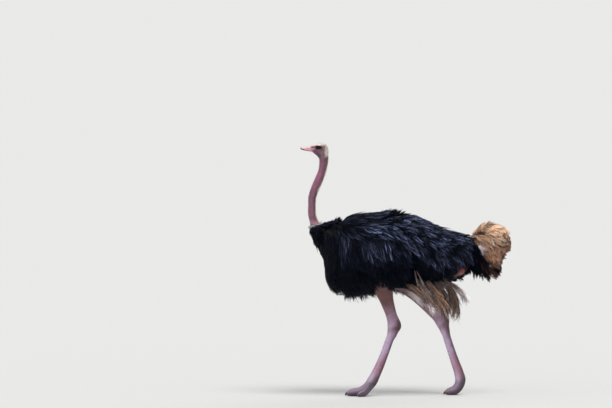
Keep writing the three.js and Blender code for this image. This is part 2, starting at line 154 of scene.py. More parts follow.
# Root x, z; middle x, z; tip x, z; the height above which the coat covers it; half width; how
# far it stands out; shares of white and of dark strands, which are painted shade.
HANGING_PLUMES = [
    (-112, 846, 28, 802, 164, 672, 900, 22, 3, 1.0, 0.1),
    (-30, 900, 88, 796, 216, 634, 838, 38, -10, 0.1, 0.6),
    (44, 996, 122, 832, 236, 628, 872, 36, 7, 0.3, 0.2),
    (120, 940, 214, 784, 300, 622, 862, 40, 10, 0.05, 0.35),
    (110, 800, 164, 716, 208, 630, 900, 13, 6, 1.0, 0),
    (205, 940, 280, 766, 328, 562, 856, 58, -12, 0, 1.0),
    (270, 935, 362, 748, 344, 592, 850, 46, 4, 0.05, 0.75),
    (300, 900, 402, 818, 460, 716, 846, 20, 8, 1.0, 0),
    (42, 1004, 60, 925, 74, 866, 966, 3, 12, 1.0, 0),
    (60, 990, 100, 908, 132, 836, 958, 4, 12, 1.0, 0),
]
SLAB_SIDE = 0.246  # how far from the middle plane the hanging plumes lie
# Seen from the side, the line below which the tail's coverts lie.
COVERT_EDGE = [(440, 1252), (508, 1240), (530, 1216), (543, 1140), (584, 1076), (640, 1010),
               (800, 970)]

# Bare skin behind the thigh: x, z and half sizes of each patch, and then x, z and half width of
# the line above which feathers are cut short.
BARE_PATCHES = [(420, 972, 38, 33), (346, 906, 19, 28)]
PATCH_TOPS = [(420, 1000, 38), (346, 936, 32)]

NECK_START = len(TRUNK) - 1
HEAD_START = len(TRUNK) + len(NECK) - 1
BILL_START = HEAD_START + len(HEAD)


def metres(rows, lengths, x_columns):
    """A station table in metres: its first columns are lengths, and some of these are x."""
    table = np.array(rows, float)
    table[:, :lengths] *= 0.001
    table[:, list(x_columns)] += HIP_X
    return table


# ---------------- settings


def colour(red, green, blue):
    """A colour written in 0 to 255 display values, as linear light."""
    value = np.array([red, green, blue]) / 255
    return np.where(value > 0.04045, ((value + 0.055) / 1.055) ** 2.4, value / 12.92)


def paint_property(name, description, *display):
    """A colour of the panel, whose default is written in 0 to 255 display values."""
    return bpy.props.FloatVectorProperty(
        name=name, description=description, default=tuple(colour(*display)), size=3,
        min=0.0, max=1.0, subtype="COLOR")


def length_property(name, description, default):
    """A length of the panel, in metres."""
    return bpy.props.FloatProperty(
        name=name, description=description, default=default, min=0.2 * default,
        max=3 * default, subtype="DISTANCE", unit="LENGTH")


class OstrichSizes(bpy.types.PropertyGroup):
    """Lengths of the coat and depths of the skin's relief"""

    feather: length_property("Feather", "Length of a feather of the flank", 0.17)
    barb: length_property("Barb", "Width of one barb of a feather", 0.0046)
    back_depth: length_property("Back coat", "Depth of the coat on the back", 0.034)
    flank_depth: length_property("Flank coat", "Depth of the coat on the flanks", 0.055)
    tail_plume: length_property("Tail plume", "Length of a plume of the tail", 0.16)
    tail_depth: length_property("Tail depth", "Depth of the tail's plumes", 0.068)
    bristle: length_property("Bristle", "Length of a bristle of the head", 0.0065)
    down: length_property("Neck down", "Length of the down on the neck", 0.0075)
    collar: length_property("Collar", "Length of a feather of the collar", 0.018)
    scute: length_property("Plate", "Height of one plate on the front of the leg", 0.0135)
    scute_step: length_property("Plate step", "How far a plate overlaps the next", 0.0016)
    fold: length_property("Neck fold", "Depth of the folds of the neck", 0.0006)


class OstrichColours(bpy.types.PropertyGroup):
    """Colours of the skin, the horn and the feathers"""

    neck: paint_property("Neck", "Bare skin of the neck", 134, 92, 112)
    neck_dark: paint_property("Neck, dark", "Patches and the rear of the neck", 108, 72, 78)
    face: paint_property("Face", "Skin by the bill and on the forehead", 224, 172, 184)
    lilac: paint_property("Below the eye", "Skin below the eye", 134, 90, 116)
    # maroon also carries painted shade: before the eye under the brow, round the eye, in the
    # nostril's dent and on the mouth's inner faces.
    maroon: paint_property("Lore", "Skin before the eye, at the gape and at the ear", 84, 32, 48)
    lid: paint_property("Lid", "Rims of the eyelids", 34, 16, 24)
    throat: paint_property("Throat", "Skin of the throat", 92, 60, 72)
    # crown: the pale bristles, with painted light from above and behind on crown and nape, and
    # painted rim light on the neck's rear edge.
    crown: paint_property("Crown", "Bristles and skin of crown and nape", 252, 240, 230)
    bristle: paint_property("Bristle", "Bristles of the cheeks", 142, 122, 116)
    bill: paint_property("Bill", "Lower part of the upper bill", 234, 168, 182)
    # bill_ridge: the pale top, partly painted light from above, and the painted highlight on the
    # nail behind the tip.
    bill_ridge: paint_property("Bill ridge", "Top and tip of the bill", 244, 222, 214)
    # bill_lower: a darker copy of the bill's pink, painted shade on the lower half.
    bill_lower: paint_property("Lower bill", "Lower half of the bill", 160, 98, 102)
    # bill_tip: the dark tip, and also painted shade under the tip and towards the lower half's tip.
    bill_tip: paint_property("Bill tip", "Underside of the bill's tip", 44, 26, 20)
    iris: paint_property("Iris", "Iris of the eye", 58, 32, 22)
    leg: paint_property("Leg", "Bare skin of the leg", 150, 120, 140)
    # leg_pale is also the painted highlight down the legs' fronts, along the toes' tops and round
    # the upper tarsus.
    leg_pale: paint_property("Leg, pale", "Front of the leg", 212, 186, 210)
    # thigh: painted shade, the body's shadow on the leg below the feathers, the hock's shade and
    # the legs' rears.
    thigh: paint_property("Thigh", "Leg below the feathers", 98, 62, 58)
    foot: paint_property("Foot", "Foot and toes", 72, 66, 80)
    claw: paint_property("Claw", "Horn of the claws", 74, 62, 58)
    raw: paint_property("Bare patch", "Bare skin behind the thigh", 118, 44, 44)
    under: paint_property("Under the coat", "Skin below the black feathers", 14, 13, 18)
    black: paint_property("Black", "Roots of the black feathers", 3, 5, 12)
    black_tip: paint_property("Black tip", "Tips of the black feathers", 7, 11, 26)
    brown_tip: paint_property("Brown tip", "Weathered tips of black feathers", 50, 40, 44)
    # sheen: painted highlight, the blue-grey light that the feathers' tips catch.
    sheen: paint_property("Sheen", "Blue-grey tips of coverts and back", 172, 186, 240)
    buff: paint_property("Buff", "Plumes of the tail", 236, 186, 142)
    # buff_pale: pale plumes, and also the painted light on the tail's top.
    buff_pale: paint_property("Buff, pale", "Palest plumes of the tail's top", 250, 234, 214)
    buff_dark: paint_property("Buff, dark", "Roots of the tail's plumes", 164, 110, 76)
    tail_grey: paint_property("Tail, middle", "Lower plumes of the tail", 178, 132, 112)
    white: paint_property("White", "White plumes and the collar", 232, 222, 226)
    plume: paint_property("Hanging plume", "Plumes that hang from the wings", 174, 122, 94)
    plume_pale: paint_property("Hanging plume, pale", "Their paler strands", 244, 202, 168)
    plume_dark: paint_property("Hanging plume, dark", "Their shaded inner strands", 54, 36, 32)


def size(name):
    """A length from the panel."""
    return getattr(bpy.context.scene.ostrich_sizes, name)


def tone(name, *levels):
    """A colour from the panel, as linear light, with each channel times its level."""
    value = np.array(getattr(bpy.context.scene.ostrich_colours, name))
    return value * np.array(levels) if levels else value


# ---------------- shape tools

NOISE_VALUES = 4096  # a power of two
NOISE_PRIMES = (73856093, 19349663, 83492791)  # they spread the corners over the values


def unit(vectors):
    """The vectors, each one long."""
    return vectors / np.maximum(np.linalg.norm(vectors, axis=-1, keepdims=True), 1e-12)


def dot(one, other):
    """The products of vectors, with the last axis kept."""
    return (one * other).sum(-1, keepdims=True)


def rise(low, high, value):
    """0 below low, 1 above high, and a smooth S between: t squared times 3 minus 2 t."""
    t = np.clip((np.asarray(value, float) - low) / (high - low), 0, 1)
    return t * t * (3 - 2 * t)


def bump(middle, reach, value):
    """1 at the middle, falling smoothly to 0 at reach to either side."""
    return 1 - rise(0, reach, np.abs(np.asarray(value, float) - middle))


def soft_noise(points, lattice, seed):
    """Smooth noise from -1 to 1: a random value at each corner of a lattice of this size, and
    between the corners the S-shaped blend of the eight around a point."""
    values = np.random.default_rng(seed).uniform(-1, 1, NOISE_VALUES)
    cell = np.asarray(points, float) / lattice
    corner = np.floor(cell).astype(np.int64)
    part = cell - corner
    part = part * part * (3 - 2 * part)
    total = 0.0
    for side in np.ndindex(2, 2, 2):
        share = np.where(side, part, 1 - part)
        mixed = (corner + side) * NOISE_PRIMES
        mixed = (mixed[..., 0] ^ mixed[..., 1] ^ mixed[..., 2]) & (NOISE_VALUES - 1)
        total = total + share[..., 0] * share[..., 1] * share[..., 2] * values[mixed]
    return total


def smooth_rows(table):
    """A function that gives the table's row at any station number, whole or not: cubics whose
    slopes never overshoot the stations, carried straight on past both ends."""
    steps = np.diff(table, axis=0)
    product = steps[:-1] * steps[1:]
    total = np.where(product > 0, steps[:-1] + steps[1:], 1)
    inner = np.where(product > 0, 2 * product / total, 0)
    slopes = np.concatenate([steps[:1], inner, steps[-1:]])

    def at(place):
        place = np.asarray(place, float)
        inside = np.clip(place, 0, len(table) - 1)
        i = np.minimum(inside.astype(int), len(table) - 2)
        t = (inside - i)[..., None]
        row = (table[i] * (2 * t ** 3 - 3 * t ** 2 + 1) + slopes[i] * (t ** 3 - 2 * t ** 2 + t)
               + table[i + 1] * (3 * t ** 2 - 2 * t ** 3) + slopes[i + 1] * (t ** 3 - t ** 2))
        over = (place - inside)[..., None]
        return row + over * np.where(over < 0, slopes[0], slopes[-1])

    return at


def oval(angle, roundness):
    """Cosine and sine of a superellipse: each is its sign times its size to the power of 2 over
    the roundness."""
    c, s = np.cos(angle), np.sin(angle)
    return (np.sign(c) * np.abs(c) ** (2 / roundness),
            np.sign(s) * np.abs(s) ** (2 / roundness))


class BodyShape:
    """The surface of a loft between back and belly lines. At a station number and an angle,
    counted from the back and growing to the right, the point is the middle of the station's
    line, plus its half line times the oval's cosine, plus the half width times its sine."""

    def __init__(self, rows):
        self.at = smooth_rows(metres(rows, 5, (0, 2)))

    def point(self, place, angle, inset=0.0):
        """The point, moved in from the outline by inset."""
        row = self.at(place)
        middle = (row[..., 0:2] + row[..., 2:4]) / 2
        half = (row[..., 0:2] - row[..., 2:4]) / 2
        long = np.linalg.norm(half, axis=-1)
        c, s = oval(angle, row[..., 5])
        deep = np.minimum(inset, 0.75 * np.minimum(long, row[..., 4]))
        flat = middle + unit(half) * ((long - deep) * c)[..., None]
        return np.stack([flat[..., 0], (row[..., 4] - deep) * s, flat[..., 1]], -1)

    def middle(self, place):
        """The middle of the station's line."""
        row = self.at(place)
        flat = (row[..., 0:2] + row[..., 2:4]) / 2
        return np.stack([flat[..., 0], 0 * flat[..., 0], flat[..., 1]], -1)

    def outward(self, place, point, by_place, by_angle):
        """The normals of these slopes, turned away from the middle of the station's line."""
        normal = unit(np.cross(by_place, by_angle))
        facing = np.sign(dot(normal, point - self.middle(place)))
        return normal * np.where(facing == 0, 1, facing)

    def frame(self, place, angle, inset=0.0):
        """The point, its change per station, its change per radian, and the outward normal."""
        step = 0.02
        here = self.point(place, angle, inset)
        by_place = (self.point(place + step, angle, inset)
                    - self.point(place - step, angle, inset)) / (2 * step)
        by_angle = (self.point(place, angle + step, inset)
                    - self.point(place, angle - step, inset)) / (2 * step)
        return here, by_place, by_angle, self.outward(place, here, by_place, by_angle)


BODY = BodyShape(TRUNK + NECK + HEAD + BILL)
TAIL_SHAPE = BodyShape(TAIL)


def round_angles(sides):
    """Angles evenly spaced round a full turn."""
    return np.linspace(0, 2 * np.pi, sides, endpoint=False)


def path_rings(table, places, sides, roundness, swell):
    """Rings of a loft along a path: each stands square to the path and is an oval of the row's
    half depth and half width, angle 0 at the front or the top. swell(place, angle) is added to
    both halves."""
    at = smooth_rows(table)
    row = at(places)
    along = unit(at(places + 0.03)[:, :3] - at(places - 0.03)[:, :3])
    sideways = np.array([0.0, 1.0, 0.0])
    across = unit(sideways - dot(along, sideways) * along)
    front = np.cross(across, along)
    angle = round_angles(sides)[None, :]
    c, s = oval(angle, roundness)
    more = swell(places[:, None], angle)
    return (row[:, None, :3]
            + front[:, None, :] * ((row[:, 3:4] + more) * c)[..., None]
            + across[:, None, :] * ((row[:, 4:5] + more) * s)[..., None])


def running_sum(steps):
    """The sum of the steps so far, from 0, along the last axis."""
    return np.concatenate([np.zeros(steps.shape[:-1] + (1,)), np.cumsum(steps, -1)], -1)


def path_lengths(points):
    """How far along a path each of its points is."""
    return running_sum(np.linalg.norm(np.diff(points, axis=0), axis=1))


def rounded_end(rings, count=5, sign=1):
    """Rings that close a loft: its last ring, or with sign -1 its first, shrunk by the cosine of
    0 to 80 degrees and pushed out by the sine, times about half its radius."""
    edge, before = (rings[-1], rings[-2]) if sign > 0 else (rings[0], rings[1])
    middle = edge.mean(0)
    radius = np.linalg.norm(edge - middle, axis=-1).min()
    push = unit(middle - before.mean(0))
    turn = np.linspace(0, 80, count + 1)[1:] * np.pi / 180
    made = (middle + (edge - middle)[None] * np.cos(turn)[:, None, None]
            + push * (0.75 * radius * np.sin(turn))[:, None, None])
    return np.concatenate([rings, made]) if sign > 0 else np.concatenate([made[::-1], rings])


def closed_loft(rings):
    """Points and faces of a loft over rings of points, with a fan of triangles on each end."""
    count, sides = rings.shape[:2]
    points = np.concatenate([rings.reshape(-1, 3), rings[:1].mean(1), rings[-1:].mean(1)])
    a = (np.arange(count - 1)[:, None] * sides + np.arange(sides)).ravel()
    b = (np.arange(count - 1)[:, None] * sides + (np.arange(sides) + 1) % sides).ravel()
    quads = np.stack([a, b, b + sides, a + sides], 1)
    k = np.arange(sides)
    ahead = (k + 1) % sides
    last = (count - 1) * sides
    fans = np.concatenate([
        np.stack([np.full(sides, count * sides), ahead, k], 1),
        np.stack([np.full(sides, count * sides + 1), last + k, last + ahead], 1)])
    return points, face_outward(points, [quads, fans])


def face_outward(points, faces):
    """The faces, all turned round if together they enclose a volume below zero."""
    volume = 0.0
    for corners in faces:
        for i in range(1, corners.shape[1] - 1):
            a, b, c = points[corners[:, 0]], points[corners[:, i]], points[corners[:, i + 1]]
            volume += (a * np.cross(b, c)).sum()
    return faces if volume > 0 else [corners[:, ::-1] for corners in faces]


def add_paint(mesh, paint):
    """Gives a mesh its painted colour, one for each vertex."""
    layer = mesh.color_attributes.new("paint", "FLOAT_COLOR", "POINT")
    rgba = np.concatenate([paint, np.ones((len(paint), 1))], 1)
    layer.data.foreach_set("color", rgba.astype(np.float32).ravel())


def new_object(name, points, faces, finish=None, uv=None, values=None, paint=None):
    """A smooth mesh object. values are the vertices' attributes by name, paint is their colour,
    and uv goes into the map OFBake."""
    mesh = bpy.data.meshes.new(name)
    corners = np.concatenate([f.ravel() for f in faces]).astype(np.int32)
    sizes = np.concatenate([np.full(len(f), f.shape[1]) for f in faces])
    mesh.vertices.add(len(points))
    mesh.vertices.foreach_set("co", np.ascontiguousarray(points, np.float32).ravel())
    mesh.loops.add(len(corners))
    mesh.loops.foreach_set("vertex_index", corners)
    mesh.polygons.add(len(sizes))
    mesh.polygons.foreach_set("loop_start", np.concatenate([[0], np.cumsum(sizes)[:-1]]))
    mesh.polygons.foreach_set("use_smooth", np.ones(len(sizes), bool))
    mesh.update(calc_edges=True)
    if uv is not None:
        layer = mesh.uv_layers.new(name="OFBake")
        layer.data.foreach_set("uv", uv[corners].astype(np.float32).ravel())
    for key, value in (values or {}).items():
        layer = mesh.attributes.new(key, "FLOAT", "POINT")
        layer.data.foreach_set("value", np.asarray(value, np.float32).ravel())
    if paint is not None:
        add_paint(mesh, paint)
    if finish is not None:
        mesh.materials.append(finish)
    made = bpy.data.objects.new(name, mesh)
    bpy.context.scene.collection.objects.link(made)
    return made


def mesh_points(mesh):
    """The places of a mesh's vertices."""
    points = np.empty(len(mesh.vertices) * 3)
    mesh.vertices.foreach_get("co", points)
    return points.reshape(-1, 3)


def install(piece, slot, *nodes):
    """Puts a finished piece on the body and hides the nodes that it stands for. slot is not used.
    """
    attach(piece, "root")
    if nodes:
        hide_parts(*nodes)
    return piece


# ---------------- tufts

TUFT_PATCH = 0.003  # size of a tuft's patch on its map
MAP_MARGIN = 0.02  # from a map's edge to the first root
STATIONS = 5  # points along a barb
COAT_PROUD = 0.008  # the most by which a lying barb stands out of the body's outline
ROOT_DEPTH = 0.15  # share of the coat's depth at which a barb of the body starts
ALL_ROUND = (-np.pi, np.pi)


class Coat:
    """Collects tufts for one piece. A tuft is a thin closed prism of three sides along a line
    of points: two edges on the skin's side, one ridge on the outer side, and a pointed tip."""

    def __init__(self, seed):
        self.rng = np.random.default_rng(seed)
        self.parts = []
        self.stations = None

    def add(self, lines, normal, width, root_uv, root_colour, tip_colour, twist,
            profile=(0.7, 1.0, 0.85, 0.5), late=1.2):
        """lines: count x stations x 3, from root to tip. width goes by tuft, and normal, root_uv
        and the colours by tuft or by feather. twist turns each tuft about its line at random.
        profile is the width along a tuft, and late the power of the share along it by which the
        tip's colour takes over."""
        count, self.stations = lines.shape[:2]
        normal, root_uv, root_colour, tip_colour = (
            np.repeat(part, count // len(part), 0)
            for part in (normal, root_uv, root_colour, tip_colour))
        along = unit(np.gradient(lines, axis=1))
        side = unit(np.cross(along, normal[:, None, :]))
        up = np.cross(side, along)
        turn = self.rng.normal(0, twist, count)[:, None, None]
        edge = side * np.cos(turn) + up * np.sin(turn)
        ridge = up * np.cos(turn) - side * np.sin(turn)
        half = 0.5 * width[:, None] * np.interp(
            np.linspace(0, 1, self.stations - 1), np.linspace(0, 1, len(profile)), profile)
        half = half[..., None]
        base = lines[:, :-1]
        rings = np.stack([base + edge[:, :-1] * half, base - edge[:, :-1] * half,
                          base + ridge[:, :-1] * half * 0.7], 2)
        points = np.concatenate([rings.reshape(count, -1, 3), lines[:, -1:]], 1)
        share = np.append(np.repeat(np.linspace(0, 1, self.stations)[:-1], 3), 1.0)
        across = np.append(np.tile([0.5, -0.5, 0.0], self.stations - 1), 0.0)
        patch = np.stack([across, share - 0.5], 1) * TUFT_PATCH
        mix = share[None, :, None] ** late
        paint = root_colour[:, None, :] * (1 - mix) + tip_colour[:, None, :] * mix
        self.parts.append((
            points.reshape(-1, 3), (root_uv[:, None, :] + patch).reshape(-1, 2),
            np.tile(share, count), np.repeat(self.rng.random(count), len(share)),
            paint.reshape(-1, 3)))

    def make(self, name, finish):
        """The piece of all the tufts, which have the same number of stations."""
        per = 3 * (self.stations - 1) + 1
        around = ((0, 1), (1, 2), (2, 0))
        template = []
        for low in range(0, per - 4, 3):
            for a, b in around:
                template += [(low + a, low + b, low + 3 + b), (low + a, low + 3 + b, low + 3 + a)]
        template += [(per - 4 + a, per - 4 + b, per - 1) for a, b in around] + [(2, 1, 0)]
        points, uv, along, tint, paint = (np.concatenate(part) for part in zip(*self.parts))
        starts = np.arange(0, len(points), per)[:, None, None]
        faces = (starts + np.array(template)).reshape(-1, 3)
        return new_object(name, points, face_outward(points, [faces]), finish, uv,
                          {"along": along, "tint": tint}, paint)


def vane(rng, count, barbs, length, splay, gather):
    """The barbs of flat feathers, as x along the feather and y across it, each count x barbs x
    stations. A barb leaves the shaft at the splay angle and bends back towards the feather's
    own direction: y is the running sum of the sine of an angle that falls from the splay to
    near zero, and x that of its cosine. gather draws a feather's tips together into a lock."""
    share = (np.arange(barbs) + rng.random((count, barbs))) / barbs
    side = np.where(np.arange(barbs) % 2, 1.0, -1.0)[None, :]
    start = share * 0.72 * length[:, None]
    long = length[:, None] * (0.62 - 0.34 * share) * rng.uniform(0.75, 1.25, share.shape)
    first = splay * (1.15 - 0.6 * share) * rng.uniform(0.5, 1.4, share.shape)
    t = np.linspace(0, 1, STATIONS)
    turn = side[..., None] * (first[..., None] * (1 - 0.8 * t) + rng.normal(
        0, 0.1, share.shape)[..., None] * t)
    step = long[..., None] / (STATIONS - 1)
    x = start[..., None] + running_sum(np.cos(turn[..., :-1]) * step)
    y = running_sum(np.sin(turn[..., :-1]) * step)
    wave = rng.normal(0, 0.0022, share.shape)[..., None]
    y = y + wave * np.sin(np.pi * (1.6 * t + rng.random(share.shape)[..., None])) * t
    bend = rng.normal(0, 0.16, (count, 1, 1))
    share_there = x / length[:, None, None]
    y = y * (1 - gather * rise(0.35, 1.0, share_there))
    return x, y + bend * x * share_there


def coat_depth(place, angle):
    """How far the coat's tips stand off the skin: deepest on the flanks and belly, thinner on
    the back and round the vent, and running out at the neck's base."""
    flank = rise(0.3, 1.3, np.abs(angle))
    deep = size("back_depth") * (1 - flank) + size("flank_depth") * flank
    vent = bump(1.4, 1.5, place) * rise(1.9, 2.35, np.abs(angle))
    return deep * (1 - rise(12.5, NECK_START + 0.2, place)) * (1 - 0.75 * vent) + 0.003


def body_lie(point, angle):
    """The way the coat points: back along the spine on top, down and a little back on the
    flanks, steeper on the breast, and back under the belly."""
    side = rise(0.25, 1.15, np.abs(angle))[..., None]
    under = rise(2.25, 2.9, np.abs(angle))[..., None]
    x = point[..., 0] - HIP_X
    lean = 0.22 + 0.45 * rise(-0.55, 0.2, x) + 0.15 * rise(0.2, 0.5, x)
    high = rise(1.02, 1.34, point[..., 2])
    flank = np.stack([lean * (0.6 + 1.2 * high), 0 * x, -1 + 0.25 * high], -1)
    back = np.array([1.0, 0.0, -0.1])
    below = np.array([1.0, 0.0, -0.25])
    return unit(((back * (1 - side) + flank * side) * (1 - under)) + below * under)


# Seen from the side: the groove behind the folded wing, and the dip before its shoulder.
WING_EDGE = [(-70, 1400), (0, 1230), (45, 1080), (54, 945)]
SHOULDER_DIP = [(-512, 1400), (-508, 1330), (-518, 1250)]


def coat_relief(point):
    """The coat's height as a share of its depth: less in the groove behind the folded wing and
    in the dip before its shoulder."""
    return (1.05 - 0.6 * bump(0, 48, along_line(point, WING_EDGE))
            - bump(0, 36, along_line(point, SHOULDER_DIP)))


def scatter(rng, shape, count, places, angles, keep):
    """Roots spread over a stretch of a body: stations and angles at random, each kept with a
    chance that goes with the area there and with keep(point, angle), and where they lie on the
    piece's map."""
    tries = 14 * count
    place, angle = rng.uniform(*places, tries), rng.uniform(*angles, tries)
    point, by_place, by_angle, _ = shape.frame(place, angle)
    chance = np.linalg.norm(np.cross(by_place, by_angle), axis=-1) * keep(point, angle)
    chosen = np.flatnonzero(rng.random(tries) * np.quantile(chance, 0.995) < chance)[:count]
    place, angle = place[chosen], angle[chosen]
    uv = np.stack([(place - places[0]) / (places[1] - places[0]),
                   (angle - angles[0]) / (angles[1] - angles[0])], 1)
    return place, angle, uv * (1 - 2 * MAP_MARGIN) + MAP_MARGIN


def laid(way, normal):
    """The way, laid on the surface that has this normal."""
    return unit(way - dot(way, normal) * normal)


def surface_step(way, by_place, by_angle):
    """How far station and angle change along a way on the surface, for each metre."""
    pp, pa, aa = dot(by_place, by_place), dot(by_place, by_angle), dot(by_angle, by_angle)
    p, a = dot(by_place, way), dot(by_angle, way)
    whole = pp * aa - pa * pa
    return ((aa * p - pa * a) / whole)[..., None], ((pp * a - pa * p) / whole)[..., None]


def feathers_on(coat, place, angle, uv, length, barbs, fringe, stand, root_colour, tip_colour):
    """Lays one feather of the body at each root. The flat feather's x and y become steps of
    station and angle through the surface's own slopes there, so that its barbs follow the skin.
    A barb's height grows from root to tip, and falls off to the feather's sides. fringe is how
    far a feather leaves the skin instead, straight on in the way it lies and, by stand, off
    it."""
    rng = coat.rng
    count = len(place)
    here, by_place, by_angle, normal = BODY.frame(place, angle, coat_depth(place, angle))
    along = laid(body_lie(here, angle), normal)
    swirl = (0.30 * soft_noise(here, 0.14, 21) + 0.22 * soft_noise(here, 0.05, 22))[:, None]
    along = unit(along + np.cross(normal, along) * swirl)
    side = np.cross(normal, along)
    x, y = vane(rng, count, barbs, length, 0.5, 0.65)
    ahead = surface_step(along, by_place, by_angle)
    aside = surface_step(side, by_place, by_angle)
    p = place[:, None, None] + x * ahead[0] + y * aside[0]
    a = angle[:, None, None] + x * ahead[1] + y * aside[1]
    deep = coat_depth(p, a)
    share = np.clip(x / length[:, None, None], 0, 1.2)
    height = deep * (ROOT_DEPTH + (0.95 - ROOT_DEPTH) * share ** 0.8)
    half = 0.3 * length[:, None, None]
    height = height * (1 - 0.3 * np.clip(y / half, -1, 1) ** 2)
    clump = 0.22 * soft_noise(here, 0.07, 23)[:, None, None]
    height = height * (coat_relief(BODY.point(p, a)) + clump
                       + rng.normal(0, 0.17, (count, 1, 1)))
    height = np.minimum(height, deep + COAT_PROUD)
    stray = (rng.random(x.shape[:2]) < 0.07) * rng.uniform(0.003, 0.012, x.shape[:2])
    height = height + (rng.normal(0, 0.0015, x.shape[:2]) + stray)[..., None] * (
        np.linspace(0, 1, STATIONS) ** 1.5)
    lines = BODY.point(p, a, deep - height)
    raised = along + normal * stand[:, None]
    spiky = np.clip(stand + 0.45 * fringe, 0, 1)
    ahead = raised[:, None, None] * (x - x[..., :1])[..., None]
    gathered = (1 - 0.6 * spiky)[:, None, None, None]
    aside = side[:, None, None] * ((y - y[..., :1])[..., None] * gathered)
    hang = fringe[:, None, None, None]
    lines = lines * (1 - hang) + (lines[:, :, :1] + ahead + aside) * hang
    lines = lines.reshape(-1, STATIONS, 3)
    total = len(lines)
    wide = size("barb") * rng.uniform(0.7, 1.3, total) * np.repeat(1 + 0.7 * spiky, barbs)
    glint = 0.3 + 2.6 * rng.random(total)[:, None] ** 3
    coat.add(lines, normal, wide, uv, root_colour, np.repeat(tip_colour, barbs, 0) * glint, 0.6,
             late=2.2)


# ---------------- finishes


class Value:
    """A node's output in an expression. Each operator adds the Math node that it stands for."""

    def __init__(self, nodes, socket):
        self.nodes, self.socket = nodes, socket

    def maths(self, operation, first, second):
        return self.nodes.add("ShaderNodeMath", {"operation": operation}, {0: first, 1: second})

    def __add__(self, other):
        return self.maths("ADD", self, other)

    def __mul__(self, other):
        return self.maths("MULTIPLY", self, other)

    def __sub__(self, other):
        return self.maths("SUBTRACT", self, other)

    def __rsub__(self, other):
        return self.maths("SUBTRACT", other, self)

    __radd__ = __add__
    __rmul__ = __mul__

    def between(self, low, high):
        """0 below low, 1 above high, smooth between."""
        return self.nodes.add(
            "ShaderNodeMapRange", {"interpolation_type": "SMOOTHSTEP", "clamp": True},
            {"Value": self, "From Min": low, "From Max": high})


class Nodes:
    """The nodes of a material or a world, built up by calls."""

    def __init__(self, owner):
        owner.use_nodes = True
        self.owner, self.tree = owner, owner.node_tree
        self.tree.nodes.clear()

    def fill(self, node, sockets):
        """Links or sets a node's sockets. A colour's alpha is 1."""
        for key, value in sockets.items():
            socket = node.inputs[key]
            if isinstance(value, Value):
                self.tree.links.new(value.socket, socket)
            elif socket.type == "RGBA":
                socket.default_value = (*value, 1.0)
            else:
                socket.default_value = value

    def add(self, kind, settings, sockets, output=0):
        """One output of a new node: its settings come first, then its sockets."""
        made = self.tree.nodes.new(kind)
        for key, value in settings.items():
            setattr(made, key, value)
        self.fill(made, sockets)
        return Value(self, made.outputs[output]) if made.outputs else None

    def place(self, stretch=(1, 1, 1)):
        """Object coordinates, each times its stretch."""
        where = self.add("ShaderNodeTexCoord", {}, {}, "Object")
        return self.add("ShaderNodeMapping", {"vector_type": "POINT"},
                        {"Vector": where, "Scale": stretch})

    def attribute(self, name, output="Fac"):
        """A value that the mesh carries."""
        return self.add("ShaderNodeAttribute", {"attribute_name": name}, {}, output)

    def noise(self, scale, detail=3, stretch=(1, 1, 1)):
        """Noise of so many bumps a metre."""
        return self.add("ShaderNodeTexNoise", {}, {
            "Vector": self.place(stretch), "Scale": scale, "Detail": detail,
            "Roughness": 0.55})

    def cell_edges(self, scale, stretch):
        """How far a place is from the edges of random cells."""
        return self.add("ShaderNodeTexVoronoi", {"feature": "DISTANCE_TO_EDGE"},
                        {"Vector": self.place(stretch), "Scale": scale})

    def mix(self, factor, one, other, blend="MIX"):
        """A colour mix. one and other are colours or Values."""
        return self.add("ShaderNodeMix", {"data_type": "RGBA", "blend_type": blend},
                        {0: factor, 6: one, 7: other}, 2)

    def painted(self, red, green, blue):
        """The mesh's painted colour, each channel times its level."""
        levels = self.add("ShaderNodeCombineColor", {}, {0: red, 1: green, 2: blue})
        return self.mix(1.0, self.attribute("paint", "Color"), levels, "MULTIPLY")

    def relief(self, height, distance, strength, over=None):
        """The normal of a height that is worth this distance in metres, over another normal."""
        below = {} if over is None else {"Normal": over}
        return self.add("ShaderNodeBump", {}, {
            "Height": height, "Distance": distance, "Strength": strength, **below})


class Finish(Nodes):
    """A material whose surface is one Principled shader with these constants."""

    def __init__(self, name, **constants):
        super().__init__(bpy.data.materials.new(name))
        shader = self.add("ShaderNodeBsdfPrincipled", {}, {})
        self.shader = shader.socket.node
        self.add("ShaderNodeOutputMaterial", {}, {"Surface": shader})
        self.feed(**constants)

    def feed(self, **sockets):
        """Links or sets the shader's sockets, and gives the material."""
        self.fill(self.shader, {key.replace("_", " "): value for key, value in sockets.items()})
        return self.owner


def feather_finish(name, rough=0.6, specular=0.2, sheen=0.0, dust=(0.25, 0.2, 0.15), dusty=0.0,
                   gloss=(1, 1, 1)):
    """Feather: the painted colour, darker and lighter by tuft and by fine streaks, dustier
    towards the tips, with the barbules' grain as relief."""
    f = Finish(name, Roughness=rough, Specular_IOR_Level=specular, Sheen_Weight=sheen,
               Sheen_Roughness=0.4, Specular_Tint=gloss)
    tint, along = f.attribute("tint"), f.attribute("along")
    streak = f.noise(420, 2, (1, 1, 0.35))
    level = 0.62 + tint * 0.5 + streak * 0.3
    cloud = f.noise(9, 3).between(0.52, 0.75) * dusty * along
    return f.feed(Base_Color=f.mix(cloud, f.painted(level, level, level), dust),
                  Roughness=rough - 0.1 + tint * 0.2,
                  Normal=f.relief(f.noise(900, 1), 0.0006, 0.5))


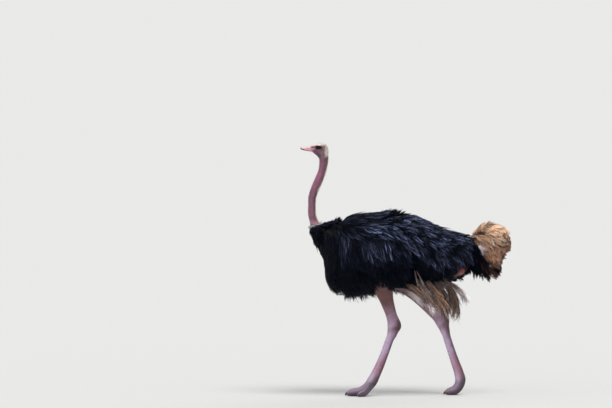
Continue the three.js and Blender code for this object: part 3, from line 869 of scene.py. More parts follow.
def skin_finish():
    """Bare skin: the painted colour with blotches, pores and fine creases, scaled on the legs,
    with painted shade in the creases, a painted highlight down the legs' fronts and painted shade
    along their rears.
    """
    f = Finish("bare_skin", Roughness=0.5, Specular_IOR_Level=0.4, Subsurface_Weight=0.06,
               Subsurface_Radius=(0.006, 0.002, 0.001), Subsurface_Scale=0.5)
    scaled = f.attribute("scaled")
    blotch = f.noise(26, 4).between(0.35, 0.7)
    speck = f.noise(260, 2).between(0.4, 0.65)
    level = 0.84 + blotch * 0.22 + speck * 0.12
    colour = f.painted(level, level * 0.99, level)
    # Painted highlight down the legs' fronts and along the toes' tops.
    colour = f.mix(f.attribute("ridge") * 0.8, colour, tone("leg_pale"))
    # Painted shade down the legs' rears, in the thigh colour darkened.
    colour = f.mix(f.attribute("rear") * 0.7, colour, tone("thigh") * 0.45)
    edges = (1 - f.cell_edges(300, (1, 1, 0.75)).between(0.0, 0.12)) * scaled
    colour = f.mix(edges * 0.26, colour, (0.10, 0.06, 0.065))
    # Painted shade in the creases and hollows, at the lids' edges and under the plates of the legs.
    colour = f.mix(f.attribute("crease") * 0.7, colour, (0.022, 0.010, 0.012))
    grain = f.noise(700, 3) * 0.5 + (1 - edges) * 0.9
    wrinkle = f.noise(150, 3, (1, 1, 3.2))
    return f.feed(Base_Color=colour, Roughness=0.42 + speck * 0.16 + scaled * 0.05,
                  Normal=f.relief(grain, 0.0007, 0.7, f.relief(wrinkle, 0.0012, 0.5)))


def horn_finish(name, grain, coat):
    """Horn: the painted colour with fine growth lines and wear."""
    f = Finish(name, Roughness=0.4, Specular_IOR_Level=0.5, Coat_Roughness=0.25, Coat_Weight=coat)
    lines = f.noise(240, 3, grain)
    level = 0.8 + lines * 0.35
    return f.feed(Base_Color=f.painted(level, level, level),
                  Roughness=0.34 + f.noise(600, 2) * 0.16,
                  Normal=f.relief(lines, 0.0006, 0.5))


def eye_finish():
    """A wet dark eye: brown iris with fine rays, black pupil, by distance from the eye's axis."""
    f = Finish("eyeball", Roughness=0.06, Specular_IOR_Level=0.14)
    out = f.attribute("out")
    rays = f.noise(900, 3, (1, 0.2, 1))
    iris = f.mix(rays.between(0.3, 0.7), tone("iris") * 0.45, tone("iris"))
    shade = f.mix(out.between(0.46, 0.52), (0.0015, 0.0015, 0.002), iris)
    shade = f.mix(out.between(0.66, 0.74), shade, (0.004, 0.002, 0.002))
    return f.feed(Base_Color=shade, Roughness=0.04 + rays * 0.04)


# ---------------- markings


def blend_colours(base, layers):
    """A colour, or one for each point, with each (weight, colour) laid over the last. A name
    stands for the panel's colour."""
    result = tone(base) if isinstance(base, str) else np.asarray(base, float)
    for weight, shade in layers:
        weight = np.asarray(weight, float)[..., None]
        shade = tone(shade) if isinstance(shade, str) else shade
        result = result * (1 - weight) + shade * weight
    return result


def side_view(points, x=0, z=0):
    """How far points are from a place in the side view, along x and along z, in millimetres."""
    return (points[..., 0] - HIP_X) * 1000 - x, points[..., 2] * 1000 - z


def spot(points, x, z, wide, high, edge=0.5):
    """1 inside an oval of the side view, falling to 0 outside it."""
    dx, dz = side_view(points, x, z)
    return 1 - rise(1 - edge, 1 + edge, np.hypot(dx / wide, dz / high))


def lid_rim(points):
    """1 on the rims of the lids, an almond a little wider than the eye's opening."""
    x, z = (points[..., 0] - EYE[0]), (points[..., 2] - EYE[2])
    return 1 - rise(1.25, 1.6, np.hypot(x / LID_HALF, (z + LID_TILT * x) / 0.0106))


def head_markings(points):
    """Cream crown and nape, partly their own pale colour and partly painted light from above and
    behind, pink face, maroon before the eye, darkened there as the brow's painted shade, at the
    gape and at the ear, lilac below the eye, dark round the eye with the socket's painted shade,
    and a dark throat. Each spot is a place in the side view with its reach."""
    x, z = side_view(points)
    wobble = soft_noise(points, 0.011, 31)
    # Crown and nape: their own pale colour, with painted light from above and behind.
    crown = rise(-5, 9, z - 1957 - 0.06 * (x + 700) + 4 * wobble)
    nape = rise(-654, -636, x + 6 * wobble) * rise(1852, 1896, z + 8 * wobble)
    lit = rise(-720, -748, x - 0.35 * (z - 1930) + 5 * wobble)
    throat = rise(1912, 1898, z + 0.35 * (x + 720)) * rise(-672, -690, x)
    cheek = rise(-705, -686, x)
    return blend_colours("neck", [
        (0.5 * cheek, "bristle"),
        (0.9 * throat, "throat"),
        (0.5 * spot(points, -700, 1912, 26, 12), "throat"),
        (0.7 * spot(points, -694, 1921, 22, 8), "lilac"),
        (0.7 * spot(points, -661, 1890, 9, 9), "throat"),
        (0.8 * spot(points, -722, 1930, 13, 10), "maroon"),
        (0.75 * spot(points, -677, 1934, 12, 15), "maroon"),
        (lit, "face"),
        (0.4 * spot(points, -748, 1936, 18, 18), tone("maroon") * 1.2),
        # The lore's maroon, darkened as the brow's painted shade.
        (0.85 * spot(points, -736, 1944, 22, 7.5), "maroon"),
        (0.7 * spot(points, -736, 1917, 17, 6), tone("maroon", 1.7, 1.0, 1.2)),
        # Dark round the eye: the lids' dark skin and the socket's painted shade.
        (0.9 * spot(points, -702, 1942, 25, 19, 0.3), tone("maroon") * 0.55),
        (0.55 * spot(points, -733, 1962, 20, 9), "face"),
        (lid_rim(points), "lid"),
        (0.95 * crown, "crown"),
        (0.85 * nape, tone("crown") * 0.9),
    ])


def bare_patches(points, edge=0.5):
    """1 on the two patches of bare skin behind the thigh, which carry no feathers."""
    return np.maximum.reduce([spot(points, *patch, edge) for patch in BARE_PATCHES])


def neck_markings(points):
    """Mauve, darker and browner towards the rear, pale along both edges, the rear one with painted
    rim light, and at the base. Across the neck, -1 is its front edge and 1 its rear."""
    x, z = side_view(points)
    rows = np.array(NECK + HEAD[:2], float)
    height = (rows[:, 1] + rows[:, 3]) / 2
    middle = np.interp(z, height, (rows[:, 0] + rows[:, 2]) / 2)
    across = (x - middle) / np.interp(z, height, (rows[:, 0] - rows[:, 2]) / 2)
    across = across + 0.25 * soft_noise(points * np.array([1, 1, 0.25]), 0.02, 5)
    return blend_colours("neck", [
        (0.5 * rise(1560, 1640, z), tone("neck", 1.12, 0.82, 0.98)),
        (0.8 * bump(1720, 75, z), tone("neck", 1.5, 1.1, 1.32)),
        (0.75 * rise(-0.15, 0.45, across), "neck_dark"),
        (0.45 * rise(0.2, 1, soft_noise(points, 0.07, 6)), "neck_dark"),
        (0.5 * rise(-0.8, -1.0, across), "face"),
        # Painted rim light along the neck's rear edge.
        (0.55 * rise(0.75, 1.0, across), "crown"),
        (0.45 * rise(1390, 1345, z), tone("face") * 0.8)])


def leg_markings(points):
    """Mauve-grey, with a painted highlight round the tarsus below the hock, redder above the
    foot, painted shadow of the body below the feathers, painted shade over the hock, and grey
    on the feet."""
    _, z = side_view(points)
    return blend_colours("leg", [
        (0.5 * rise(0.0, 0.8, soft_noise(points, 0.06, 7)), "leg_pale"),
        # Painted highlight round the upper tarsus.
        (0.6 * rise(510, 450, z) * rise(290, 370, z),
         tone("leg_pale", 0.9, 0.92, 1.1)),
        (0.65 * bump(235, 130, z), tone("leg", 1.35, 0.8, 0.8)),
        (0.6 * rise(0.0, 0.7, soft_noise(points, 0.028, 10)), tone("leg") * 0.6),
        # Painted shadow of the body on the leg below the feathers, and painted shade in the bend
        # over the hock.
        (0.95 * rise(600, 780, z + 40 * soft_noise(points, 0.08, 14)), "thigh"),
        (0.6 * bump(534, 34, z), "thigh"),
        (0.85 * rise(190, 90, z), "foot")])


def skin_markings(points, leg):
    """The colours of the whole skin, by place. leg is 1 on the legs and toes."""
    x, z = side_view(points)
    neck = (rise(1330, 1350, z) * rise(-560, -640, x))[..., None]
    head = (rise(1846, 1872, z) * rise(-560, -600, x))[..., None]
    leg = leg[..., None]
    result = tone("under") * (1 - leg) + leg_markings(points) * leg
    result = blend_colours(result, [
        (bare_patches(points), "raw"),
        (0.5 * spot(points, 346, 906, 24, 34) + 0.3 * spot(points, 412, 950, 30, 16),
         tone("leg_pale", 0.6, 0.4, 0.3))])
    result = result * (1 - neck) + neck_markings(points) * neck
    return result * (1 - head) + head_markings(points) * head


# ---------------- skin


def eye_relief(points, side):
    """The skin round one eye. Inside an almond opening it sinks behind the eyeball. Outside, it
    is drawn to a shell a lid's thickness over the eyeball, and leaves it for the head's own
    surface further out. The upper lid stands out more, under a brow. Also gives how far out
    of the opening each point is, 1 at its edge, and how far it has sunk."""
    centre = EYE * np.array([1, side, 1])
    away = points - centre
    same = (points[..., 1] * side > 0.012) & (np.linalg.norm(away, axis=-1) < 0.06)
    dx, dz = away[..., 0], away[..., 2] + LID_TILT * away[..., 0]
    reach = np.hypot(dx / LID_HALF, dz / np.where(dz > 0, 0.0110, 0.0098))
    lid = EYE_RADIUS + 0.0018 + 0.0008 * bump(1.22, 0.3, reach) - 0.0004 * bump(1.5, 0.2, reach)
    inner = EYE_RADIUS - 0.0045
    sink = 1 - rise(0.80, 1.09, reach)
    target = lid * (1 - sink) + inner * sink
    hold = (1 - rise(1.35, 2.1, reach)) * same
    drawn = centre + unit(away) * target[..., None]
    points = points * (1 - hold[..., None]) + drawn * hold[..., None]
    brow = bump(0, 0.011, dz - 0.0165) * bump(0, 0.026, dx - 0.001) * same
    lore = bump(0, 0.010, dz + 0.001) * bump(0, 0.014, dx + 0.026) * same
    cheek = bump(0, 0.012, dz + 0.020) * bump(0, 0.024, dx + 0.002) * same
    points[..., 1] += side * (0.0026 * brow - 0.0022 * lore + 0.0014 * cheek)
    return points, reach, sink * same


def along_line(points, line):
    """How far points are, in the side view, from a line of places, in millimetres."""
    x, z = side_view(points)
    best = np.full(x.shape, 1e9)
    for (ax, az), (bx, bz) in zip(line[:-1], line[1:]):
        t = np.clip(((x - ax) * (bx - ax) + (z - az) * (bz - az))
                    / ((bx - ax) ** 2 + (bz - az) ** 2), 0, 1)
        best = np.minimum(best, np.hypot(x - ax - t * (bx - ax), z - az - t * (bz - az)))
    return best


# Seen from the side, in millimetres: the line of the gape, and the ear.
GAPE = [(-790, 1921), (-768, 1917), (-742, 1913), (-716, 1908), (-700, 1906.5)]
EAR = (-672, 1927)
SPINE_SIDES = 128
LEG_SIDES = 44
TOE_SIDES = 30
END_RINGS = 6
UNDER_SOLID = 0.001  # how far the legs' skin stays inside the solid's outline
FOLD_PITCH = 0.011  # from one fold to the next at the leg's joints
TOE_SCUTE = 0.009  # height of a plate of the outer toe
FLOOR_GAP = 0.0009  # the least height of the feet's skin above the floor


def neck_relief(place, angle, points):
    """Folds across the neck, and the windpipe along its front."""
    on_neck = (rise(NECK_START, NECK_START + 1.5, place)
               * (1 - rise(HEAD_START, HEAD_START + 1, place)))
    stretched = points * np.array([1, 1, 3.2])
    folds = soft_noise(stretched, 0.03, 11) + 0.6 * soft_noise(stretched, 0.013, 12)
    pipe = 0.0014 * bump(np.pi, 0.5, np.abs(angle))
    return on_neck * (size("fold") * (folds - 1) + pipe)


def head_relief(place, points):
    """The head's grain, the hollow and rim of the ear, and the groove of the gape under its
    lip. Also gives how much painted shade the hollow and the groove take."""
    on_head = rise(HEAD_START, HEAD_START + 1, place)
    off_bill = 1 - rise(BILL_START - 0.5, BILL_START - 0.16, place)
    ear = np.hypot(*side_view(points, *EAR))
    gape = along_line(points, GAPE)
    sidelong = on_head * rise(0.006, 0.014, np.abs(points[..., 1]))
    groove = (1 - rise(0, 2.6, gape)) * sidelong
    lift = on_head * off_bill * 0.0005 * soft_noise(points, 0.006, 13)
    lift = lift + on_head * (-0.0034 * (1 - rise(0, 5.5, ear)) + 0.0012 * bump(8, 4, ear))
    lift = lift + off_bill * (0.0011 * bump(4.2, 3, gape) * sidelong - 0.0016 * groove)
    return lift, 0.9 * groove + (1 - rise(0, 6, ear)) * on_head


def spine_skin():
    """The skin from the tail's base to the bill: the body's loft, drawn in by the coat's depth
    or the down's, with folds on the neck and lids, brow, ear and gape on the head. Stations are
    closest on the head."""
    face, seam = BILL_START - 0.24, BILL_START - 0.015
    places = np.concatenate([
        np.linspace(0, NECK_START, 50)[:-1],
        np.linspace(NECK_START, HEAD_START - 0.5, 150)[:-1],
        np.linspace(HEAD_START - 0.5, face, 165)[:-1],
        np.linspace(face, seam, 26)])
    turn = np.linspace(-np.pi, np.pi, SPINE_SIDES, endpoint=False)
    place, angle = np.meshgrid(places, turn + 0.21 * np.sin(2 * turn), indexing="ij")
    down = (0.0011 * rise(NECK_START, NECK_START + 1, place)
            * (1 - 0.7 * rise(BILL_START - 0.8, BILL_START - 0.02, place))
            + 0.0022 * rise(BILL_START - 0.12, BILL_START - 0.04, place))
    inset = coat_depth(place, angle) * (1 - rise(NECK_START, NECK_START + 0.6, place)) + down
    inset = inset * (1 - 0.85 * bare_patches(BODY.point(place, angle), 0.6))
    points = BODY.point(place, angle, inset)
    normal = BODY.outward(
        place, points, np.gradient(points, axis=0), np.gradient(points, axis=1))
    lift, crease = head_relief(place, points)
    points = points + normal * (lift + neck_relief(place, angle, points))[..., None]
    for side in (-1, 1):
        points, reach, sunk = eye_relief(points, side)
        near = (points[..., 1] * side > 0.01) * rise(HEAD_START, HEAD_START + 1, place)
        # Painted shade at the lids' edges, over the skin sunk inside the opening, and in a faint
        # ring round the lids.
        crease = np.maximum(crease, near * np.maximum(bump(1.0, 0.25, reach), sunk))
        crease = np.maximum(crease, 0.5 * near * bump(1.55, 0.16, reach))
    return points, {"crease": np.clip(crease, 0, 1),
                    **dict.fromkeys(("scaled", "ridge", "rear", "leg"), 0 * crease)}


def leg_skin(rows):
    """The skin of one leg, from the knee down the shank, over the hock and along the tarsus to
    the end of the main toe. Its front carries plates that overlap like tiles: each rises evenly
    over its pitch and drops at its lower edge. Below the hock a tendon parts two hollows, and
    fine folds cross the joints."""
    table = metres(rows, 5, (0,))
    places = np.concatenate([np.linspace(0, HOCK - 0.6, 54)[:-1],
                             np.linspace(HOCK - 0.6, len(rows) - 1, 270)])
    run = path_lengths(smooth_rows(table)(places)[:, :3])

    def far_along(place):
        return np.interp(place, places, run)

    def plates(place, angle):
        front = rise(0.35, 0.8, np.cos(angle)) * rise(HOCK + 0.35, HOCK + 1.2, place)
        return front, (far_along(place) / size("scute") + 0.06 * np.sin(3 * angle)) % 1.0

    def swell(place, angle):
        front, part = plates(place, angle)
        tile = part * (1 - rise(0.86, 1.0, part))
        bony = rise(HOCK + 0.2, HOCK + 1.4, place) * (1 - rise(10, 11.5, place))
        turned = np.abs((angle + np.pi) % (2 * np.pi) - np.pi) / np.pi
        tendon = -0.0035 * bony * bump(0.5, 0.32, turned)
        fold = np.sin(far_along(place) * 2 * np.pi / FOLD_PITCH + 1.3 * np.sin(angle * 2))
        knuckle = 0.0009 * fold * np.maximum(
            bump(HOCK + 0.1, 0.8, place), 0.7 * bump(11.6, 1.0, place))
        heel = 0.007 * bump(HOCK + 0.18, 0.6, place) * rise(0.45, 1.0, -np.cos(angle))
        return front * size("scute_step") * tile + tendon + knuckle + heel - UNDER_SOLID

    rings = path_rings(table, places, LEG_SIDES, 2.15, swell)
    angle, place = round_angles(LEG_SIDES)[None, :], places[:, None]
    front, part = plates(place, angle)
    # Painted shade under each plate's lower edge and in the bend below the hock.
    crease = front * np.maximum(rise(0.84, 0.95, part), 1 - rise(0.0, 0.07, part)) * 0.7
    bent = bump(HOCK + 0.45 + 0.4 * np.cos(angle), 0.6, place)
    crease = np.maximum(crease, 0.42 * bent)
    # A painted highlight down the front of the leg, fainter lower on the tarsus and on the foot.
    ridge = rise(-0.3, 0.55, np.cos(angle)) * rise(HOCK - 1.5, HOCK + 1, place)
    ridge = ridge * (1 - 0.45 * bump(HOCK + 4.3, 1.5, place))
    ridge = ridge * (1 - 0.5 * rise(HOCK + 5.5, HOCK + 7.5, place))
    # Painted shade down the back of the leg from the hock.
    rear = rise(-0.2, -0.75, np.cos(angle)) * rise(HOCK - 1, HOCK + 0.2, place)
    scaled = rise(HOCK - 0.2, HOCK + 0.8, place) * (1 - 0.8 * front)
    rings = rounded_end(rings, END_RINGS)
    rings[..., 2] = np.maximum(rings[..., 2], FLOOR_GAP)
    end = np.zeros((END_RINGS, LEG_SIDES))
    return rings, {"crease": np.concatenate([crease, end]),
                   "scaled": np.concatenate([scaled, end + 1]),
                   "ridge": np.concatenate([ridge, ridge[-1:] + end]),
                   "rear": np.concatenate([rear, rear[-1:] + end]),
                   "leg": np.ones(rings.shape[:2])}


def toe_skin(rows):
    """The skin of an outer toe, with plates along its top."""
    table = metres(rows, 5, (0,))
    places = np.linspace(0, len(rows) - 1, 60)
    run = path_lengths(smooth_rows(table)(places)[:, :3])

    def swell(place, angle):
        part = (np.interp(place, places, run) / TOE_SCUTE) % 1.0
        tile = part * (1 - rise(0.85, 1, part))
        return rise(0.3, 0.8, np.cos(angle)) * 0.0011 * tile - UNDER_SOLID

    rings = path_rings(table, places, TOE_SIDES, 2.2, swell)
    rings = rounded_end(rounded_end(rings, 5), 5, -1)
    rings[..., 2] = np.maximum(rings[..., 2], FLOOR_GAP)
    flat = np.zeros(rings.shape[:2])
    # A painted highlight along the toe's top.
    ridge = 0.5 * rise(0.3, 0.9, np.cos(round_angles(TOE_SIDES)))
    return rings, {"crease": flat, "scaled": flat + 1, "ridge": flat + ridge, "rear": flat,
                   "leg": flat + 1}


def skin_object(name, rings, values):
    """A closed loft with its values, whose end points take the mean of their ring's."""
    points, faces = closed_loft(rings)
    spread = {key: np.concatenate([value.ravel(), [value[0].mean(), value[-1].mean()]])
              for key, value in values.items()}
    return new_object(name, points, faces, values=spread)


def joined(objects):
    """One closed mesh of several: their union, cut together one after another."""
    base = objects[0]
    for other in objects[1:]:
        cut = base.modifiers.new("join", "BOOLEAN")
        cut.operation, cut.solver, cut.object = "UNION", "MANIFOLD", other
        graph = bpy.context.evaluated_depsgraph_get()
        mesh = bpy.data.meshes.new_from_object(base.evaluated_get(graph))
        base.modifiers.clear()
        base.data = mesh
        bpy.data.objects.remove(other)
    return base


def smooth_near(mesh, weight_of, rounds=12):
    """Draws each point towards the mean of its neighbours, by the weight there."""
    points = mesh_points(mesh)
    edges = np.empty(len(mesh.edges) * 2, np.int32)
    mesh.edges.foreach_get("vertices", edges)
    first, second = edges.reshape(-1, 2).T
    weight = weight_of(points)[:, None]
    count = len(points)
    degree = np.bincount(edges, minlength=count)[:, None]
    for _ in range(rounds):
        total = np.stack([np.bincount(first, points[second, axis], count)
                          + np.bincount(second, points[first, axis], count)
                          for axis in range(3)], 1)
        points = points + 0.5 * weight * (total / np.maximum(degree, 1) - points)
    mesh.vertices.foreach_set("co", points.astype(np.float32).ravel())
    mesh.update()


# Where the two toes of each foot part: x, y and z, in millimetres.
WEBS = [(-306, -84, 62), (404, 116, 72)]


class OSTRICH_OT_skin(bpy.types.Operator):
    """Makes the skin of the trunk, neck, head, legs and toes as one closed mesh"""

    bl_idname = "ostrich.skin"
    bl_label = "Skin"

    def execute(self, context):
        lofts = [skin_object("ostrich_skin", *spine_skin())]
        for side, leg, toe in (("left", LEG_LEFT, OUTER_TOE_LEFT),
                               ("right", LEG_RIGHT, OUTER_TOE_RIGHT)):
            lofts.append(skin_object(f"{side}_leg", *leg_skin(leg)))
            lofts.append(skin_object(f"{side}_toe", *toe_skin(toe)))
        skin = joined(lofts)
        mesh = skin.data
        webs = metres(WEBS, 3, (0,))

        def near_web(points):
            return np.maximum.reduce([
                1 - rise(0.012, 0.034, np.linalg.norm(points - web, axis=1)) for web in webs])

        smooth_near(mesh, near_web)
        leg = np.empty(len(mesh.vertices))
        mesh.attributes["leg"].data.foreach_get("value", leg)
        add_paint(mesh, skin_markings(mesh_points(mesh), leg))
        mesh.polygons.foreach_set("use_smooth", np.ones(len(mesh.polygons), bool))
        mesh.materials.clear()
        mesh.materials.append(skin_finish())
        install(skin, "neck_skin", "trunk", "neck_lower", "neck_middle", "neck_upper", "head",
                *(f"{part}_{side}" for side in ("left", "right")
                  for part in ("drumstick", "tarsus", "toe_main", "toe_outer")))
        return {"FINISHED"}


# ---------------- bill, eyes, claws

NOSTRIL = (-783, 1937)  # x and z of its middle, in millimetres
BILL_ARC = 40  # points round the outside of a half of the bill
BILL_FLOOR = 16  # points across its inner side
CLAW_GAP = 0.0005  # the least height of a claw above the floor


def bill_rings(upper):
    """The rings of one half of the bill, and how deep the nostril is at each point of a rim.
    Each ring is the part of the bill's oval above or below the line of the mouth, closed by a
    line across that sags in the middle. Both halves end in a quarter of a circle. The upper
    one has a broad nail, and a long nostril dented into each side. The lower one is drawn in a
    little under it."""
    mouth = metres(MOUTH, 2, (0,))[::-1]
    places = np.linspace(BILL_START - 0.3, BILL_START + 5, 114)
    row = BODY.at(places)
    middle = (row[:, 0:2] + row[:, 2:4]) / 2
    half = (row[:, 0:2] - row[:, 2:4]) / 2
    long = np.linalg.norm(half, axis=1)
    level = np.interp(middle[:, 0], mouth[:, 0], mouth[:, 1]) + (0.0001 if upper else -0.0003)
    cut = np.clip((level - middle[:, 1]) / half[:, 1], -0.98, 0.98)
    roundness = row[:, 5]
    edge = np.arccos(np.sign(cut) * np.abs(cut) ** (roundness / 2))
    spread = np.linspace(-1, 1, BILL_ARC)[None, :]
    angle = spread * edge[:, None] if upper else np.pi + spread * (np.pi - edge)[:, None]
    c, s = oval(angle, roundness[:, None])
    base = 1 - rise(BILL_START + 0.1, BILL_START + 0.9, places)
    shrink = 0.0006 if upper else 0.0016 - 0.0009 * base
    tall, wide = np.maximum(long - shrink, 0.001), np.maximum(row[:, 4] - shrink, 0.001)
    blunt = np.clip((middle[:, 0] - middle[-1, 0]) / 0.017, 0, 1)
    rounding = np.maximum(np.sqrt(1 - (1 - blunt) ** 2), 0.1) ** 0.6
    tall, wide = tall * rounding, wide * rounding
    if upper:
        tall = tall + 0.0008 * bump(BILL_START + 4.1, 0.9, places)
    flat = middle[:, None, :] + (half / long[:, None])[:, None, :] * (tall[:, None] * c)[..., None]
    rim = np.stack([flat[..., 0], wide[:, None] * s, flat[..., 1]], -1)
    x, z = side_view(rim, *NOSTRIL)
    slit = np.hypot(x / 12.5, (z + 0.12 * x) / 2.8)
    sidelong = upper * (np.abs(rim[..., 1]) > 0.006)
    dent = (1 - rise(0.45, 1.1, slit)) * sidelong
    lip = bump(1.3, 0.4, slit) * sidelong
    rim[..., 1] -= np.sign(rim[..., 1]) * (0.0034 * dent - 0.0005 * lip)
    t = np.linspace(0, 1, BILL_FLOOR + 2)[1:-1][None, :, None]
    closing = rim[:, -1:, :] * (1 - t) + rim[:, :1, :] * t
    closing[..., 2] -= 0.09 * wide[:, None] * (4 * t * (1 - t))[..., 0] ** 0.5
    return np.concatenate([rim, closing], 1), dent


def bill_half(upper):
    """Points, faces and colours of one half of the bill: pink with a pale ridge above, partly
    painted light from above, a painted highlight behind the tip and painted shade in the nostril.
    The upper half is dark at the tip, with painted shade under it; the lower half is darker as
    painted shade, most towards its tip. Both are dark inside as painted shade, and take the face's
    own colours at the base."""
    rings, dent = bill_rings(upper)
    points, faces = closed_loft(rings)
    x, z = side_view(points)
    if upper:
        dented = np.pad(dent, ((0, 0), (0, BILL_FLOOR)))
        # The upper bill's pale top: partly its own colour, partly painted light from above.
        ridge = rise(1930, 1944, z + 0.10 * (x + 790)) * 0.8
        paint = blend_colours("bill", [
            (ridge, "bill_ridge"),
            # A painted highlight on the nail behind the tip.
            (0.9 * rise(-806, -818, x) * rise(1931, 1936, z), "bill_ridge"),
            # Painted shade under the tip.
            (0.85 * rise(1933.5, 1930.5, z) * rise(-806, -822, x), "bill_tip"),
            (0.95 * rise(-829, -838, x), "bill_tip"),
            # Painted shade in the nostril's dent.
            (0.85 * np.append(dented, [0, 0]), "maroon")])
    else:
        # The lower half in a darker copy of the pink, as painted shade, darker still towards its
        # tip.
        paint = blend_colours("bill_lower", [
            (0.9 * rise(-796, -822, x), "bill_tip")])
    base = rise(-782, -760, x + 0.25 * (1930 - z))[:, None]
    paint = paint * (1 - base) + head_markings(points) * base
    # Painted shade on the inner faces where the halves meet, so the mouth line reads as a shadow.
    inside = np.zeros(rings.shape[:2])
    inside[:, BILL_ARC:] = 1
    return points, faces, blend_colours(
        paint, [(np.append(inside, [0, 0]), tone("maroon") * 0.3)])


class OSTRICH_OT_bill(bpy.types.Operator):
    """Makes the upper and lower halves of the bill"""

    bl_idname = "ostrich.bill"
    bl_label = "Bill"

    def execute(self, context):
        finish = horn_finish("bill_horn", grain=(0.6, 1, 1.4), coat=0.05)
        for name, upper in (("upper", True), ("lower", False)):
            points, faces, paint = bill_half(upper)
            piece = new_object(f"bill_{name}_horn", points, faces, finish, paint=paint)
            install(piece, "bill_horn", f"bill_{name}")
        return {"FINISHED"}


def eyeball(side):
    """Points and faces of a sphere with a clearer bulge over the iris: the radius grows by a
    share of the cosine of the angle from the eye's axis, past the iris's edge. Also gives how
    far out from that axis each point is."""
    turn = np.linspace(0.02, np.pi - 0.02, 36)[:, None]
    angle = round_angles(48)[None, :]
    radius = EYE_RADIUS * (1 + 0.035 * rise(math.cos(0.75), 1, np.cos(turn))) + 0 * angle
    rings = np.stack([radius * np.sin(turn) * np.cos(angle),
                      side * radius * np.cos(turn),
                      radius * np.sin(turn) * np.sin(angle)], -1) + EYE * np.array([1, side, 1])
    out = np.sin(turn) + (turn > np.pi / 2) + 0 * angle
    return *closed_loft(rings), np.append(out, [0, 2])


class OSTRICH_OT_eyes(bpy.types.Operator):
    """Makes the two eyeballs"""

    bl_idname = "ostrich.eyes"
    bl_label = "Eyes"

    def execute(self, context):
        finish = eye_finish()
        for name, side in (("left", -1), ("right", 1)):
            points, faces, out = eyeball(side)
            piece = new_object(f"eyeball_{name}", points, faces, finish, values={"out": out})
            install(piece, "eye", f"eye_{name}")
        return {"FINISHED"}


def claw(toe_rows, claw_rows):
    """A blunt curved claw that grows out of a toe's end: a loft along the toe's own heading,
    with a ridge along its top."""
    toe = metres(toe_rows, 5, (0,))
    heading = unit(toe[-1, :2] - toe[-2, :2])
    steps = np.array(claw_rows, float) * 0.001
    path = np.concatenate([
        toe[-1, :2] + heading * steps[:, :1], toe[-1, 2:3] - steps[:, 1:2], steps[:, 2:4]], 1)

    def swell(place, angle):
        top = bump(0, 0.5, np.minimum(angle, 2 * np.pi - angle))
        return -0.0004 + 0.0007 * top * rise(0.5, 1.5, place)

    rings = path_rings(path, np.linspace(0, len(path) - 1, 40), 28, 2.0, swell)
    rings = rounded_end(rings, 4)
    rings[..., 2] = np.maximum(rings[..., 2], CLAW_GAP)
    return closed_loft(rings)


class OSTRICH_OT_claws(bpy.types.Operator):
    """Makes the claw of each toe"""

    bl_idname = "ostrich.claws"
    bl_label = "Claws"

    def execute(self, context):
        finish = horn_finish("claw_horn", grain=(2.5, 1, 1), coat=0.15)
        for toe, side, rows, shape in (("main", "left", LEG_LEFT, MAIN_CLAW),
                                       ("main", "right", LEG_RIGHT, MAIN_CLAW),
                                       ("outer", "left", OUTER_TOE_LEFT, OUTER_CLAW),
                                       ("outer", "right", OUTER_TOE_RIGHT, OUTER_CLAW)):
            points, faces = claw(rows, shape)
            paint = blend_colours("claw", [
                (0.7 * rise(0.03, 0.0, points[:, 2]), tone("claw") * 2.5)])
            piece = new_object(f"claw_{toe}_{side}_horn", points, faces, finish, paint=paint)
            install(piece, "claw_horn", f"claw_{toe}_{side}")
        return {"FINISHED"}


# ---------------- body coat


def black_colours(rng, point):
    """Root and tip colours of black feathers. The tips carry a painted blue-grey sheen on the back,
    the rump and the wing's coverts, whose rows lie in rings round the shoulder, and are browner
    here and there."""
    count = len(point)
    x, z = side_view(point)
    brown = rise(0.1, 0.9, soft_noise(point, 0.16, 41) + rng.normal(0, 0.35, count))
    # Where the painted sheen falls: in rows round the shoulder on the coverts, and on the hips,
    # back and shoulder.
    ring = np.hypot(x + 430, z - 1270)
    rows = 0.6 + 0.4 * np.cos(2 * np.pi * (ring + 18 * soft_noise(point, 0.09, 43)) / 118)
    coverts = 1.6 * rise(1180, 1300, z) * rise(-430, -330, x) * rise(110, -10, x) * rows
    hips = 0.5 * rise(1060, 1180, z) * rise(40, 140, x)
    back = 0.28 * rise(1300, 1400, z)
    shoulder = 0.16 * bump(1290, 120, z) * rise(-660, -580, x) * rise(-400, -500, x)
    chance = rise(0.1, 0.9, rng.normal(0.5, 0.5, count))
    painted_sheen = np.clip(np.maximum.reduce([coverts, hips, back, shoulder]) + 0.02, 0, 1) * chance
    level = np.exp(rng.normal(0, 0.28, count))[:, None]
    tip = blend_colours("black_tip", [
        (brown * 0.3, "brown_tip"), (painted_sheen, "sheen")])
    return tone("black") * level, tip * level


def black_finish():
    """The finish of all black feathers, made once."""
    return bpy.data.materials.get("black_plumage") or feather_finish(
        "black_plumage", 0.5, 0.12, gloss=(0.55, 0.72, 1.0))


